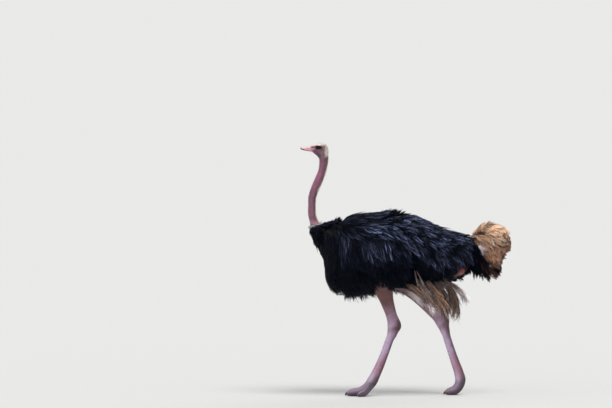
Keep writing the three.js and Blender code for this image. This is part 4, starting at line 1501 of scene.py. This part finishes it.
def body_feathers(name, seed, count, places, angles, barbs, length, ruffled):
    """One piece of the body's black coat. Low feathers hang free of the skin. Between the bare
    patches short ones stand up, and so do those of the back where it is ruffled."""
    coat = Coat(seed)
    rng = coat.rng

    def wanted(point, angle):
        return 1 - bare_patches(point, 0.2)

    place, angle, uv = scatter(rng, BODY, count, places, angles, wanted)
    point = BODY.point(place, angle)
    x, z = side_view(point)
    total = len(place)
    low = rise(1080, 930, z) * (1 - rise(2.5, 2.9, np.abs(angle)))
    long = size("feather") * length * rng.uniform(0.75, 1.2 + 0.25 * low, total)
    long *= 1 - 0.62 * rise(11.5, 15, place)
    long = above_patches(x, z, long)
    fringe = 0.85 * low * rise(1.1, 1.5, np.abs(angle))
    stand = 0.08 * low
    if ruffled:
        ruffle = rise(0.15, 0.6, back_ruffle(x, angle)) * (rng.random(total) < 0.8)
        fringe = np.maximum(fringe, ruffle)
        stand = np.maximum(stand, ruffle * rng.uniform(0.6, 1.25, total))
        long *= 1 - 0.5 * ruffle
    tuft = bump(335, 95, x) * rise(940, 905, z)
    fringe, stand = np.maximum(fringe, 0.9 * tuft), np.maximum(stand, 1.1 * tuft)
    long = np.where(tuft > 0.3, size("feather") * 0.4, long)
    root, tip = black_colours(rng, point)
    # Standing feathers take less of the painted sheen at their tips.
    tip = tip * (1 - 0.75 * np.clip(stand, 0, 1))[:, None]
    feathers_on(coat, place, angle, uv, long, barbs, fringe, stand, root, tip)
    return coat.make(name, black_finish())


def above_patches(x, z, long):
    """The feathers' lengths, cut short where they would hang over a bare patch."""
    for middle, top, half in PATCH_TOPS:
        over = (np.abs(x - middle + 20) < half + 12) & (z > top - 30)
        long = np.where(over, np.minimum(long, np.maximum(0.03, (z - top) * 0.00095)), long)
    return long


def back_ruffle(x, angle):
    """How likely feathers of the back are to stand up: over the wings' rear, at the shoulder's
    edge and on the neck's base."""
    return ((bump(-190, 130, x) + bump(-600, 55, x) + 0.7 * bump(-640, 60, x))
            * (1 - rise(0.4, 0.9, np.abs(angle))))


# Name, seed, number of feathers, stations, angles, barbs to a feather, length as a share of a
# flank feather, and whether the back's ruffle shows.
BODY_COAT = [
    ("breast_feathers", 101, 505, (9.5, NECK_START), ALL_ROUND, 15, 1.0, True),
    ("neck_base_feathers", 107, 300, (13.4, NECK_START + 0.15), ALL_ROUND, 9, 0.55, True),
    ("back_feathers", 102, 460, (0, 9.7), (-0.85, 0.85), 15, 1.0, True),
    ("rump_feathers_left", 102, 270, (0, 4.2), (-2.3, -0.8), 15, 1.0, False),
    ("rump_feathers_right", 104, 270, (0, 4.2), (0.8, 2.3), 15, 1.0, False),
    ("belly_feathers", 106, 270, (1, 9.7), (2.2, 2 * np.pi - 2.2), 13, 0.85, False),
]
WING_COAT = [
    ("wing_feathers_left", 110, 505, (3.0, 9.9), (-2.35, -0.7), 15, 1.1, False),
    ("wing_feathers_right", 112, 505, (3.0, 9.9), (0.7, 2.35), 15, 1.1, False),
]


class OSTRICH_OT_body_coat(bpy.types.Operator):
    """Makes the black feathers of the breast, back, rump and belly"""

    bl_idname = "ostrich.body_coat"
    bl_label = "Body coat"

    def execute(self, context):
        for row in BODY_COAT:
            install(body_feathers(*row), "black_feathers")
        return {"FINISHED"}


class OSTRICH_OT_wing_coat(bpy.types.Operator):
    """Makes the feathers of the folded wings"""

    bl_idname = "ostrich.wing_coat"
    bl_label = "Wing coat"

    def execute(self, context):
        for row, node in zip(WING_COAT, ("wing_left", "wing_right")):
            install(body_feathers(*row), "wing_feathers", node)
        return {"FINISHED"}


# ---------------- tail


def curl_strip(root, along, normal, x, y, curl):
    """Feathers that curl off their roots. The shaft turns in the plane of its heading and the
    normal: at x along it, its angle has grown by curl times x, so a point is the root plus the
    running sum of the heading times the cosine and the normal times the sine. y goes sideways."""
    side = np.cross(normal, along)
    turned = curl * x
    safe = np.where(np.abs(curl) < 1e-6, 1e-6, curl)
    ahead = np.sin(turned) / safe
    off = (1 - np.cos(turned)) / safe
    return (root[:, None, None] + along[:, None, None] * ahead[..., None]
            + normal[:, None, None] * off[..., None] + side[:, None, None] * y[..., None])


def under_coverts(point):
    """1 below the line of the tail's coverts."""
    x, z = side_view(point)
    line = np.array(COVERT_EDGE, float)
    return rise(12, -12, z - np.interp(x, line[:, 0], line[:, 1]) + 14 * soft_noise(point, 0.05, 3))


# How one kind of the tail's plumes grows. start, length and curl are ranges: how steeply a shaft
# leaves the surface in radians, its length as a share of the tail's plume, and how far it turns
# over in a metre. swirl is how far its way strays, splay how wide its barbs spread, and spread
# how much the plumes differ in lightness.
TailKind = namedtuple("TailKind", "start length curl swirl splay spread")
CURLS = TailKind((0.3, 1.0), (0.55, 1.1), (7, 19), 0.95, 0.42, 0.34)
COVERTS = TailKind((0.1, 0.4), (0.5, 1.15), (-2, 3), 0.25, 0.3, 0.24)
TAIL_STATIONS = (0.1, 6.9)
REAR_KNEE, REAR_ROOM = SOLID_BOX[1][0] - 0.022, 0.032
TOP_KNEE, TOP_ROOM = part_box("tail_plumes")[1][2] - 0.030, 0.030


def held_back(values, knee, room):
    """The values, bent back past the knee so that they never pass it by more than room."""
    over = np.maximum(values - knee, 0)
    return values + (room * np.tanh(over / room) - over)


def covert_colours(rng, here, level):
    """Root and tip colours of the tail's coverts: black, with tips that fray to brown behind."""
    total = len(here)
    x, _ = side_view(here)
    frayed = rise(560, 640, x + rng.normal(0, 40, total))
    tip = blend_colours("black_tip", [
        (frayed * rise(0.1, 0.8, rng.random(total)), tone("plume") * 0.55)])
    return tone("black") * level, tip * level


def curl_colours(rng, here, level, white):
    """Root and tip colours of the tail's curled plumes: pale buff and uneven on top, with painted
    light from above and plumes of painted shade among them, grey-brown below, ragged dark at the
    lower edge, and white in the patch behind the coverts."""
    total = len(here)
    x, z = side_view(here)
    low = rise(1250, 1110, z + rng.normal(0, 26, total))
    # The top is paler as painted light from above, with some plumes darkened as painted shade.
    top = rise(1200, 1300, z)
    patch = np.exp(0.24 * top * soft_noise(here, 0.05, 9))[:, None]
    level = level ** (1 + 0.5 * top)[:, None] * patch
    shaded = 1 - 0.36 * (rng.random(total) < 0.38) * top
    lit = 1 + top * (0.1 * rise(740, 600, x) + 0.14 * rise(1270, 1330, z))
    level = level * (shaded * lit * (1 - 0.3 * rise(650, 720, x)))[:, None]
    level = level + (1.6 - level) * white[:, None]
    ragged = rise(1150, 1075, z + rng.normal(0, 26, total)) * rise(540, 600, x)
    pale = rise(-0.3, 0.6, soft_noise(here, 0.06, 8) + rng.normal(0, 0.35, total))
    root = blend_colours("buff_dark", [
        (0.8 * top, 0.8 * tone("buff") + 0.2 * tone("buff_pale")),
        (low * 0.4, "plume_dark"),
        (white, tone("white") * 1.1)])
    tip = blend_colours("buff", [
        (np.maximum(pale, 0.8 * top) * 0.95 * (1 - low), "buff_pale"),
        (low * 0.85, tone("tail_grey") * 0.88),
        (white, tone("white") * 1.15),
        (ragged * 0.85, "plume_dark")])
    return root * level, tip * level


def shaft_directions(rng, kind, seed, place, here, normal, under, white):
    """The way in which each shaft of the tail leaves the surface, and the way it turns towards.
    It leans backwards on top and droops below, and its direction swirls from place to place."""
    x, z = side_view(here)
    high, outer = rise(1140, 1290, z)[:, None], rise(560, 660, x)[:, None]
    if kind is COVERTS:
        droop = np.array([0.35, 0, -1.0]) + outer * np.array([0.15, 0, 0.1])
    else:
        droop = np.array([0.7, 0, -0.8]) * (1 - high) + np.array([1.0, 0, 0.1]) * high
    swirl = np.stack([soft_noise(here, 0.085, seed + axis) for axis in range(3)], -1)
    front = rise(620, 530, x)
    loose = kind.swirl * (1 - 0.7 * white) * (1 - 0.5 * front)
    along = laid(droop + loose[:, None] * swirl + rng.normal(0, 0.16, here.shape), normal)
    start = rng.uniform(*kind.start, len(here)) * (1 - 0.6 * rise(3.2, 5.5, place))
    start = start * rise(-0.4, 1.2, place) * (1 - 0.4 * front)
    start = start + 0.85 * under * rng.uniform(0.7, 1.2, len(here))
    c, s = np.cos(start)[:, None], np.sin(start)[:, None]
    return along * c + normal * s, normal * c - along * s


def shaft_lengths(rng, kind, place, here, under, white):
    """The lengths of the tail's plumes: shorter at the rear, where the outline draws in, under
    the tail and in the white patch."""
    x, z = side_view(here)
    long = size("tail_plume") * rng.uniform(*kind.length, len(here))
    long *= 1 - 0.55 * rise(3.2, 6.0, place)
    long *= 1 - 0.45 * rise(1190, 1130, z) * rise(1010, 1060, z) * rise(630, 690, x)
    long *= 1 - 0.2 * rise(640, 730, x)
    if kind is COVERTS:
        return long * ((1 - 0.3 * under) * (1 - 0.3 * rise(600, 690, x)))
    return long * (1 - 0.4 * rise(0.2, 0.4, white))


def tail_feathers(name, seed, count, barbs, kind, finish):
    """Plumes over the tail's own loft. Each shaft leaves the surface, arches over and droops
    back. The coverts hang nearly straight, below their own line. The curls cover the rest."""
    covert = kind is COVERTS
    coat = Coat(seed)
    rng = coat.rng

    def wanted(point, angle):
        x, z = side_view(point)
        below = under_coverts(point)
        front = np.maximum(rise(500, 530, x), rise(1250, 1280, z))
        return below if covert else (1 - below) * front * (1 + 0.8 * bump(600, 90, x))

    place, angle, uv = scatter(rng, TAIL_SHAPE, count, TAIL_STATIONS, ALL_ROUND, wanted)
    total = len(place)
    x, z = side_view(TAIL_SHAPE.point(place, angle))
    shallow = 0.35 if covert else 0.45 * rise(640, 560, x) * rise(1250, 1300, z)
    deep = size("tail_depth") * (1 - shallow)
    here, _, _, normal = TAIL_SHAPE.frame(place, angle, deep)
    x, z = side_view(here)
    if covert:
        white, straight, under = 0 * x, 0 * x, rise(0.2, 0.9, -normal[:, 2])
    else:
        white, straight, under = spot(here, 540, 1172, 42, 38), 0.7 * rise(1090, 1010, z), 0 * x
    heading, up = shaft_directions(rng, kind, seed, place, here, normal, under, white)
    long = shaft_lengths(rng, kind, place, here, under, white)
    curl = -rng.uniform(*kind.curl, total) * (1 - straight) * (1 + 0.8 * rise(1290, 1340, z))
    flat_x, flat_y = vane(rng, total, barbs, long, kind.splay, 0.45)
    curl = curl[:, None, None] * rng.uniform(0.75, 1.35, (total, barbs, 1))
    lines = curl_strip(here, heading, up, flat_x, flat_y, curl)
    lines = lines + rng.normal(0, 0.002, lines.shape[:2] + (1, 3))
    lines[..., 0] = held_back(lines[..., 0], REAR_KNEE, REAR_ROOM)
    lines[..., 2] = held_back(lines[..., 2], TOP_KNEE, TOP_ROOM)
    lines = lines.reshape(-1, STATIONS, 3)
    wide = size("barb") * 0.9 * rng.uniform(0.7, 1.3, len(lines))
    level = np.minimum(np.exp(rng.normal(0, kind.spread, total)), 1.45)[:, None]
    root, tip = (covert_colours(rng, here, level) if covert
                 else curl_colours(rng, here, level, white))
    coat.add(lines, up, wide, uv, root, tip, 0.7)
    return coat.make(name, finish)


def tail_base(finish):
    """What the tail's plumes grow on: the tail's loft, drawn in by more than their depth, in the
    plumes' own colours but darker, as painted shade that shows in the gaps between the plumes."""
    angle = np.linspace(*ALL_ROUND, 48, endpoint=False)
    place, angle = np.meshgrid(np.linspace(0, 6.6, 40), angle, indexing="ij")
    rings = TAIL_SHAPE.point(place, angle, size("tail_depth") * 1.25)
    points, faces = closed_loft(rings)
    _, z = side_view(points)
    # Painted shade: a dark copy of the plumes' colours under them.
    paint = blend_colours(tone("buff_dark") * 0.5, [
        (0.8 * rise(1190, 1100, z), tone("plume_dark") * 0.7),
        (spot(points, 560, 1154, 44, 42), tone("white") * 0.6),
        (under_coverts(points), "black")])
    values = {"along": np.zeros(len(points)), "tint": np.full(len(points), 0.4)}
    return new_object("tail_base", points, faces, finish, values=values, paint=paint)


class OSTRICH_OT_tail(bpy.types.Operator):
    """Makes the curled plumes of the tail and its black coverts"""

    bl_idname = "ostrich.tail"
    bl_label = "Tail"

    def execute(self, context):
        plume = feather_finish("buff_plumes", 0.7, 0.25, 0.3, (0.3, 0.2, 0.12), 0.5)
        curls = tail_feathers("tail_curls", 253, 335, 24, CURLS, plume)
        install(curls, "tail_plumes", "tail_plumes")
        coverts = tail_feathers("tail_covert_feathers", 232, 220, 18, COVERTS, black_finish())
        install(coverts, "black_feathers", "tail_coverts")
        install(tail_base(plume), "tail_plumes")
        return {"FINISHED"}


# ---------------- hanging plumes


PLUME_BARBS = 23
THIN_BUNCH = 10  # half width in millimetres below which a bunch has few plumes
BARB_REACH = 13  # half width in millimetres from which a bunch's barbs spread fully


def bunch_colours(rng, number, bunch, shift, share, lines):
    """Root and tip colours of a bunch's barbs: strands of pale, plain and dark buff by their
    place in the bunch, the dark ones painted shade, with painted shade along its lower edge and at
    its roots up under the coat."""
    white, dark = bunch[9:]
    total = len(lines)
    kind = 0.5 + 0.5 * np.sin(7 * shift + 2.1 * number) + rng.normal(0, 0.12, len(shift))
    kind = np.repeat(kind, PLUME_BARBS) + rng.normal(0, 0.15, total)
    # Painted shade along the bunch's lower edge.
    shaded_lower_edge = np.repeat(rise(-0.25, -0.8, shift), PLUME_BARBS)
    ends = rise(0.35, 0.8, share.ravel())
    tip = blend_colours("plume", [
        (rise(0.5, 0.9, kind) * 0.9 * (1 - 0.8 * dark), "plume_pale"),
        (rise(dark + 0.05, dark - 0.25, kind) * 0.8, "plume_dark"),
        (white * 0.8 * (1 - ends), tone("leg") * 0.85),
        (white * ends, tone("white") * 1.1),
        (0.6 * shaded_lower_edge * (1 - 0.6 * ends), "plume_dark")])
    tip = tip * np.repeat(np.exp(rng.normal(0, 0.32, len(shift))), PLUME_BARBS)[:, None]
    low = rise(890, 800, lines[:, 0, 2] * 1000)
    # Painted shade: the roots stay dark up under the coat.
    root = blend_colours("plume_dark", [(low * 0.85 * (1 - 0.7 * dark), tip)])
    return root, tip, low


def bunch_lines(rng, bunch, side):
    """The barbs of one bunch of a wing's plumes, each plume's place across the bunch, and each
    barb's share along its plume. The bunch follows a curve of three points, the parabola
    through them, and opens towards its end. A plume's barbs leave it to both sides and trail
    along it. Under the coat the bunch is tucked in towards the body."""
    covered, half, stand, _, dark = bunch[6:]
    row = metres([bunch[0:2], bunch[2:4], bunch[4:6]], 2, (0,))
    count = 15 if half > THIN_BUNCH else 5
    shift = rng.normal(0, 0.55, count)
    away = rng.normal(0, 0.006, count)[:, None, None]
    reach = rng.uniform(0.62, 1.05, count)[:, None, None]
    share = (np.arange(PLUME_BARBS) + rng.random((count, PLUME_BARBS))) / PLUME_BARBS
    long = (0.34 - 0.10 * share) * rng.uniform(0.6, 1.3, share.shape)
    t = np.linspace(0, 1, STATIONS)
    s = np.clip((share * 0.78)[..., None] + long[..., None] * t, 0, 1.08) * reach
    sign = np.where(np.arange(PLUME_BARBS) % 2, 1.0, -1.0)[None, :, None]
    loose = 0.014 * (0.4 + 0.6 * rise(0.1, 0.4, share)) * rng.uniform(0.1, 1.3, share.shape)
    out = sign * loose[..., None] * t ** 0.8
    out = out + rng.normal(0, 0.007, share.shape)[..., None] * t * t
    out = out * min(1, half / BARB_REACH)
    out = out + 0.0025 * np.sin(7 * t + 6.3 * rng.random(share.shape)[..., None])
    q = s[..., None]
    curve = ((1 - q) * (1 - 2 * q) * row[0] + 4 * q * (1 - q) * row[1]
             + q * (2 * q - 1) * row[2])
    slope = unit((4 * q - 3) * row[0] + (4 - 8 * q) * row[1] + (4 * q - 1) * row[2])
    across = np.stack([-slope[..., 1], slope[..., 0]], -1)
    narrow = 0.14 + 0.3 * dark
    fan = (half * 0.001) * shift[:, None, None] * (narrow + (1.1 - narrow) * s)
    flat = curve + across * (fan + out)[..., None]
    tucked = 0.085 * rise(covered, covered + 60, flat[..., 1] * 1000)
    wander = rng.normal(0, 0.004, share.shape)[..., None] * (1 + t)
    y = side * (SLAB_SIDE + 0.001 * stand + away + wander - 0.02 * s * s - tucked)
    lines = np.stack([flat[..., 0], y, flat[..., 1]], -1).reshape(-1, STATIONS, 3)
    return lines, shift, share


def hanging_plumes(name, side, finish):
    """One wing's own plumes, which hang below its rear edge. Each bunch has its own strip of
    the map."""
    coat = Coat(300 + side)
    rng = coat.rng
    for number, bunch in enumerate(HANGING_PLUMES):
        lines, shift, share = bunch_lines(rng, bunch, side)
        root, tip, low = bunch_colours(rng, number, bunch, shift, share, lines)
        u = number + np.repeat(0.5 + 0.2 * np.clip(shift, -2, 2), PLUME_BARBS)
        v = MAP_MARGIN + (1 - 2 * MAP_MARGIN) * share.ravel()
        wide = 0.0034 * (0.5 + 0.5 * low) * rng.uniform(0.7, 1.3, len(lines))
        outward = np.broadcast_to(np.array([0.0, side, 0.0]), (len(lines), 3))
        coat.add(lines, outward, wide, np.stack([u / len(HANGING_PLUMES), v], 1), root, tip, 0.8)
    install(coat.make(f"hanging_plumes_{name}", finish), "pale_plumes", f"wing_plumes_{name}")


class OSTRICH_OT_hanging_plumes(bpy.types.Operator):
    """Makes the pale plumes that hang from the wings"""

    bl_idname = "ostrich.hanging_plumes"
    bl_label = "Hanging plumes"

    def execute(self, context):
        finish = feather_finish("pale_plumage", 0.7, 0.25, 0.3, (0.2, 0.15, 0.1), 0.6)
        hanging_plumes("left", -1, finish)
        hanging_plumes("right", 1, finish)
        return {"FINISHED"}


# ---------------- head and neck


BRISTLE_ROOT = 0.0022  # how far inside the body's outline a bristle starts


def short_tufts(name, slot, finish, seed, count, places, keep, look, lie, width):
    """A piece of single short bristles, each a line that leaves the skin at its stand angle and
    bends down along the lie. look(rng, point, angle) gives lengths, stand angles and colours."""
    coat = Coat(seed)
    place, angle, uv = scatter(coat.rng, BODY, count, places, ALL_ROUND, keep)
    length, stand, paint = look(coat.rng, BODY.point(place, angle), angle)
    here, _, _, normal = BODY.frame(place, angle, BRISTLE_ROOT)
    way = lie(here)
    along = unit(way - dot(way, normal) * normal + coat.rng.normal(0, 0.25, here.shape))
    t = np.linspace(0, 1, 3)[None, :, None]
    long, off = length[:, None, None], np.sin(stand)[:, None, None]
    lines = (here[:, None] + along[:, None] * (long * t)
             + normal[:, None] * (long * off * (t - 0.45 * t * t)))
    wide = width * coat.rng.uniform(0.7, 1.3, len(lines))
    coat.add(lines, normal, wide, uv, paint * 0.8, paint, 0.8, (0.9, 0.8))
    install(coat.make(name, finish), slot)


def head_lie(point):
    """Back from the face over the crown, then down the nape and the cheeks."""
    x, z = side_view(point)
    down = rise(-700, -640, x) * 1.4 + rise(1950, 1900, z) * 0.6
    return unit(np.stack([1 - 0.45 * down, 0 * x, -down], -1))


def neck_lie(point):
    """Down the neck and a little back."""
    return np.broadcast_to(np.array([0.15, 0, -1.0]), point.shape)


def head_keep(point, angle):
    """Over crown, cheeks, nape and throat, with bare rings round eye, ear and mouth."""
    x, z = side_view(point)
    face = rise(-728, -700, x) + rise(1955, 1962, z) * rise(-752, -738, x)
    eye = 1 - spot(point, -702, 1941, 24, 18, 0.2)
    ear = 1 - spot(point, -672, 1928, 7, 8, 0.3)
    mouth = rise(2, 5, along_line(point, GAPE))
    return np.clip(face, 0, 1) * eye * ear * mouth * (0.5 + 0.5 * rise(1890, 1940, z))


def head_look(rng, point, angle):
    """Longer behind, and pale over crown and nape: partly the bristles' own colour, partly
    painted light from above and behind.
    """
    total = len(point)
    x, z = side_view(point)
    rear = rise(-690, -640, x)
    length = size("bristle") * (0.75 + 0.55 * rear) * rng.uniform(0.7, 1.3, total)
    stand = 0.42 + rng.normal(0, 0.12, total)
    pale = np.maximum(rise(1946, 1962, z), rise(-662, -642, x) * rise(1868, 1886, z))
    paint = blend_colours("bristle", [
        (np.full(total, 0.45), head_markings(point)),
        (rise(0.2, 0.8, soft_noise(point, 0.012, 9)) * 0.5, "maroon"),
        (pale * 0.92, "crown")])
    return length, stand, paint * np.exp(rng.normal(0, 0.16, total))[:, None]


def neck_keep(point, angle):
    """All over the neck, thickest along its rear."""
    return 0.45 + 0.55 * bump(0, 1.0, np.abs(angle))


def neck_look(rng, point, angle):
    """Palest along the neck's rear, and pale along its front."""
    turn = np.abs(angle)
    length = size("down") * rng.uniform(0.6, 1.4, len(point))
    stand = 0.5 + rng.normal(0, 0.15, len(point))
    pale = 0.12 + 0.75 * bump(0, 0.9, turn) + 0.35 * bump(np.pi, 0.7, turn)
    return length, stand, blend_colours(neck_markings(point) * 1.1, [
        (np.clip(pale, 0, 1), "crown")])


LASHES = 60


def eyelashes(finish):
    """A row of bristles along each upper lid's edge, an arc of the lid's almond, sweeping out,
    back and down."""
    coat = Coat(403)
    rng = coat.rng
    for side in (-1, 1):
        turn = np.linspace(0.12, np.pi - 0.1, LASHES) + rng.normal(0, 0.02, LASHES)
        edge = np.stack([0.0162 * np.cos(turn), 0 * turn, 0.0116 * np.sin(turn)], -1)
        edge[:, 2] -= LID_TILT * edge[:, 0]
        flat = np.hypot(edge[:, 0], edge[:, 2])
        edge[:, 1] = side * np.sqrt((EYE_RADIUS + 0.0016) ** 2 - flat ** 2)
        outward = unit(edge * np.array([0.7, 1.0, 0.9]))
        t = np.linspace(0, 1, STATIONS)[None, :, None]
        long = (0.012 * rng.uniform(0.75, 1.2, LASHES))[:, None, None]
        sweep = np.array([0.25, 0.0, -0.25])
        roots = EYE * np.array([1, side, 1]) + edge
        lines = roots[:, None] + long * (outward[:, None] * t + sweep * t * t)
        black = np.broadcast_to(tone("black") * 0.6, (LASHES, 3))
        uv = np.stack([0.25 + 0.5 * (side > 0) + 0 * turn, turn / np.pi * 0.9 + 0.05], 1)
        coat.add(lines, np.broadcast_to([0, side * 1.0, 0.2], (LASHES, 3)),
                 np.full(LASHES, 0.0008), uv, black, black, 0.3)
    install(coat.make("eyelashes", finish), "black_feathers")


def collar_keep(point, angle):
    """All round the neck's base, thinnest at the sides."""
    turn = np.abs(angle)
    return 0.25 + 0.75 * np.maximum(bump(0, 0.9, turn), bump(np.pi, 0.8, turn))


def collar_look(rng, point, angle):
    """White, and longer and more raised behind."""
    total = len(point)
    rear = bump(0, 0.9, angle)
    length = size("collar") * (1 + 0.7 * rear) * rng.uniform(0.6, 1.3, total)
    stand = 0.35 + 0.35 * rear + rng.normal(0, 0.12, total)
    return length, stand, tone("white") * np.exp(rng.normal(0, 0.15, total))[:, None]


class OSTRICH_OT_down(bpy.types.Operator):
    """Makes the bristles of the head, the lashes, the down of the neck and its collar"""

    bl_idname = "ostrich.down"
    bl_label = "Head and neck down"

    def execute(self, context):
        finish = feather_finish("pale_down", 0.75, 0.2, 0.4)
        short_tufts("head_bristles", "head_skin", finish, 401, 7500,
                    (HEAD_START - 0.6, BILL_START - 0.2), head_keep, head_look, head_lie, 0.0010)
        short_tufts("neck_down", "neck_skin", finish, 402, 5600,
                    (NECK_START + 0.3, HEAD_START + 0.2), neck_keep, neck_look, neck_lie, 0.0008)
        eyelashes(black_finish())
        short_tufts("collar_feathers", "pale_plumes", finish, 501, 520,
                    (NECK_START - 0.1, NECK_START + 0.85), collar_keep, collar_look, neck_lie,
                    0.0028)
        return {"FINISHED"}


# ---------------- stage


BACKGROUND = (0.82, 0.82, 0.81)
FLOOR_REACH = 60.0
# Name, place, angle across in degrees, and strength.
LAMPS = [
    ("key", (1.2, -2.2, 5.0), 35, 1.9), ("fill", (-5.0, -4.0, 2.0), 80, 0.7),
    ("rim", (2.5, 5.0, 4.0), 50, 0.8),
]
LAMPS_LOOK_AT = (0, 0, 0.8)
VIEW_FROM = (HIP_X - 0.797, -33.0, 2.3)
VIEW_TO = (HIP_X - 0.797, 0, 1.5)
LENS = 248.5  # millimetres, before a sensor 36 millimetres wide


def stage_materials():
    """A pale matt floor that fades, far from the bird, into the world's own colour."""
    f = Nodes(bpy.data.materials.new("floor"))
    matt = f.add("ShaderNodeBsdfDiffuse", {}, {"Color": (0.74, 0.735, 0.72)})
    glow = f.add("ShaderNodeEmission", {}, {"Color": BACKGROUND, "Strength": 1.0})
    far = f.add("ShaderNodeVectorMath", {"operation": "LENGTH"}, {0: f.place()}, "Value")
    mixed = f.add("ShaderNodeMixShader", {}, {0: far.between(2.2, 9.0), 1: matt, 2: glow})
    f.add("ShaderNodeOutputMaterial", {}, {0: mixed})
    w = Nodes(bpy.data.worlds.new("studio"))
    soft = w.add("ShaderNodeBackground", {}, {"Color": (0.95, 0.97, 1.0), "Strength": 0.42})
    seen = w.add("ShaderNodeBackground", {}, {"Color": BACKGROUND, "Strength": 1.0})
    ray = w.add("ShaderNodeLightPath", {}, {}, "Is Camera Ray")
    w.add("ShaderNodeOutputWorld", {}, {
        0: w.add("ShaderNodeMixShader", {}, {0: ray, 1: soft, 2: seen})})
    return f.owner, w.owner


def aim(thing, target):
    """Turns a lamp or camera to look at a place."""
    x, y, z = np.array(target, float) - np.array(thing.location, float)
    thing.rotation_euler = (math.atan2(math.hypot(x, y), -z), 0, math.atan2(y, x) - math.pi / 2)


class OSTRICH_OT_stage(bpy.types.Operator):
    """Makes the floor, the world, the lamps and the camera"""

    bl_idname = "ostrich.stage"
    bl_label = "Stage"

    def execute(self, context):
        scene = context.scene
        floor_material, scene.world = stage_materials()
        corners = np.array([(-1, -1, 0), (1, -1, 0), (1, 1, 0), (-1, 1, 0)]) * FLOOR_REACH
        floor = new_object("floor", corners, [np.array([[0, 1, 2, 3]])], floor_material)
        for name, place, across, strength in LAMPS:
            lamp = bpy.data.lights.new(name, "SUN")
            lamp.angle, lamp.energy = math.radians(across), strength
            light = bpy.data.objects.new(name, lamp)
            light.location = place
            aim(light, LAMPS_LOOK_AT)
            scene.collection.objects.link(light)
        camera = bpy.data.cameras.new("camera")
        camera.sensor_width, camera.lens, camera.clip_end = 36.0, LENS, 200
        view = bpy.data.objects.new("camera", camera)
        view.location = VIEW_FROM
        aim(view, VIEW_TO)
        scene.collection.objects.link(view)
        scene.camera = view
        scene.view_settings.view_transform = "Standard"
        return {"FINISHED"}


# ---------------- add-on


OPERATORS = (OSTRICH_OT_skin, OSTRICH_OT_bill, OSTRICH_OT_eyes, OSTRICH_OT_claws,
             OSTRICH_OT_body_coat, OSTRICH_OT_wing_coat, OSTRICH_OT_tail,
             OSTRICH_OT_hanging_plumes, OSTRICH_OT_down, OSTRICH_OT_stage)


class OSTRICH_PT_panel(bpy.types.Panel):
    """Lists the ostrich's sizes and pieces"""

    bl_idname = "OSTRICH_PT_panel"
    bl_label = "Ostrich"
    bl_space_type = "VIEW_3D"
    bl_region_type = "UI"
    bl_category = "Ostrich"

    def draw(self, context):
        for group in (context.scene.ostrich_sizes, context.scene.ostrich_colours):
            box = self.layout.box()
            for key in type(group).__annotations__:
                box.prop(group, key)
        for operator in OPERATORS:
            self.layout.operator(operator.bl_idname)


CLASSES = (OstrichSizes, OstrichColours, *OPERATORS, OSTRICH_PT_panel)


def register():
    for cls in CLASSES:
        bpy.utils.register_class(cls)
    bpy.types.Scene.ostrich_sizes = bpy.props.PointerProperty(type=OstrichSizes)
    bpy.types.Scene.ostrich_colours = bpy.props.PointerProperty(type=OstrichColours)


def unregister():
    del bpy.types.Scene.ostrich_sizes, bpy.types.Scene.ostrich_colours
    for cls in reversed(CLASSES):
        bpy.utils.unregister_class(cls)


def main():
    register()
    for operator in OPERATORS:
        group, name = operator.bl_idname.split(".")
        getattr(getattr(bpy.ops, group), name)()


if __name__ == "__main__":
    main()
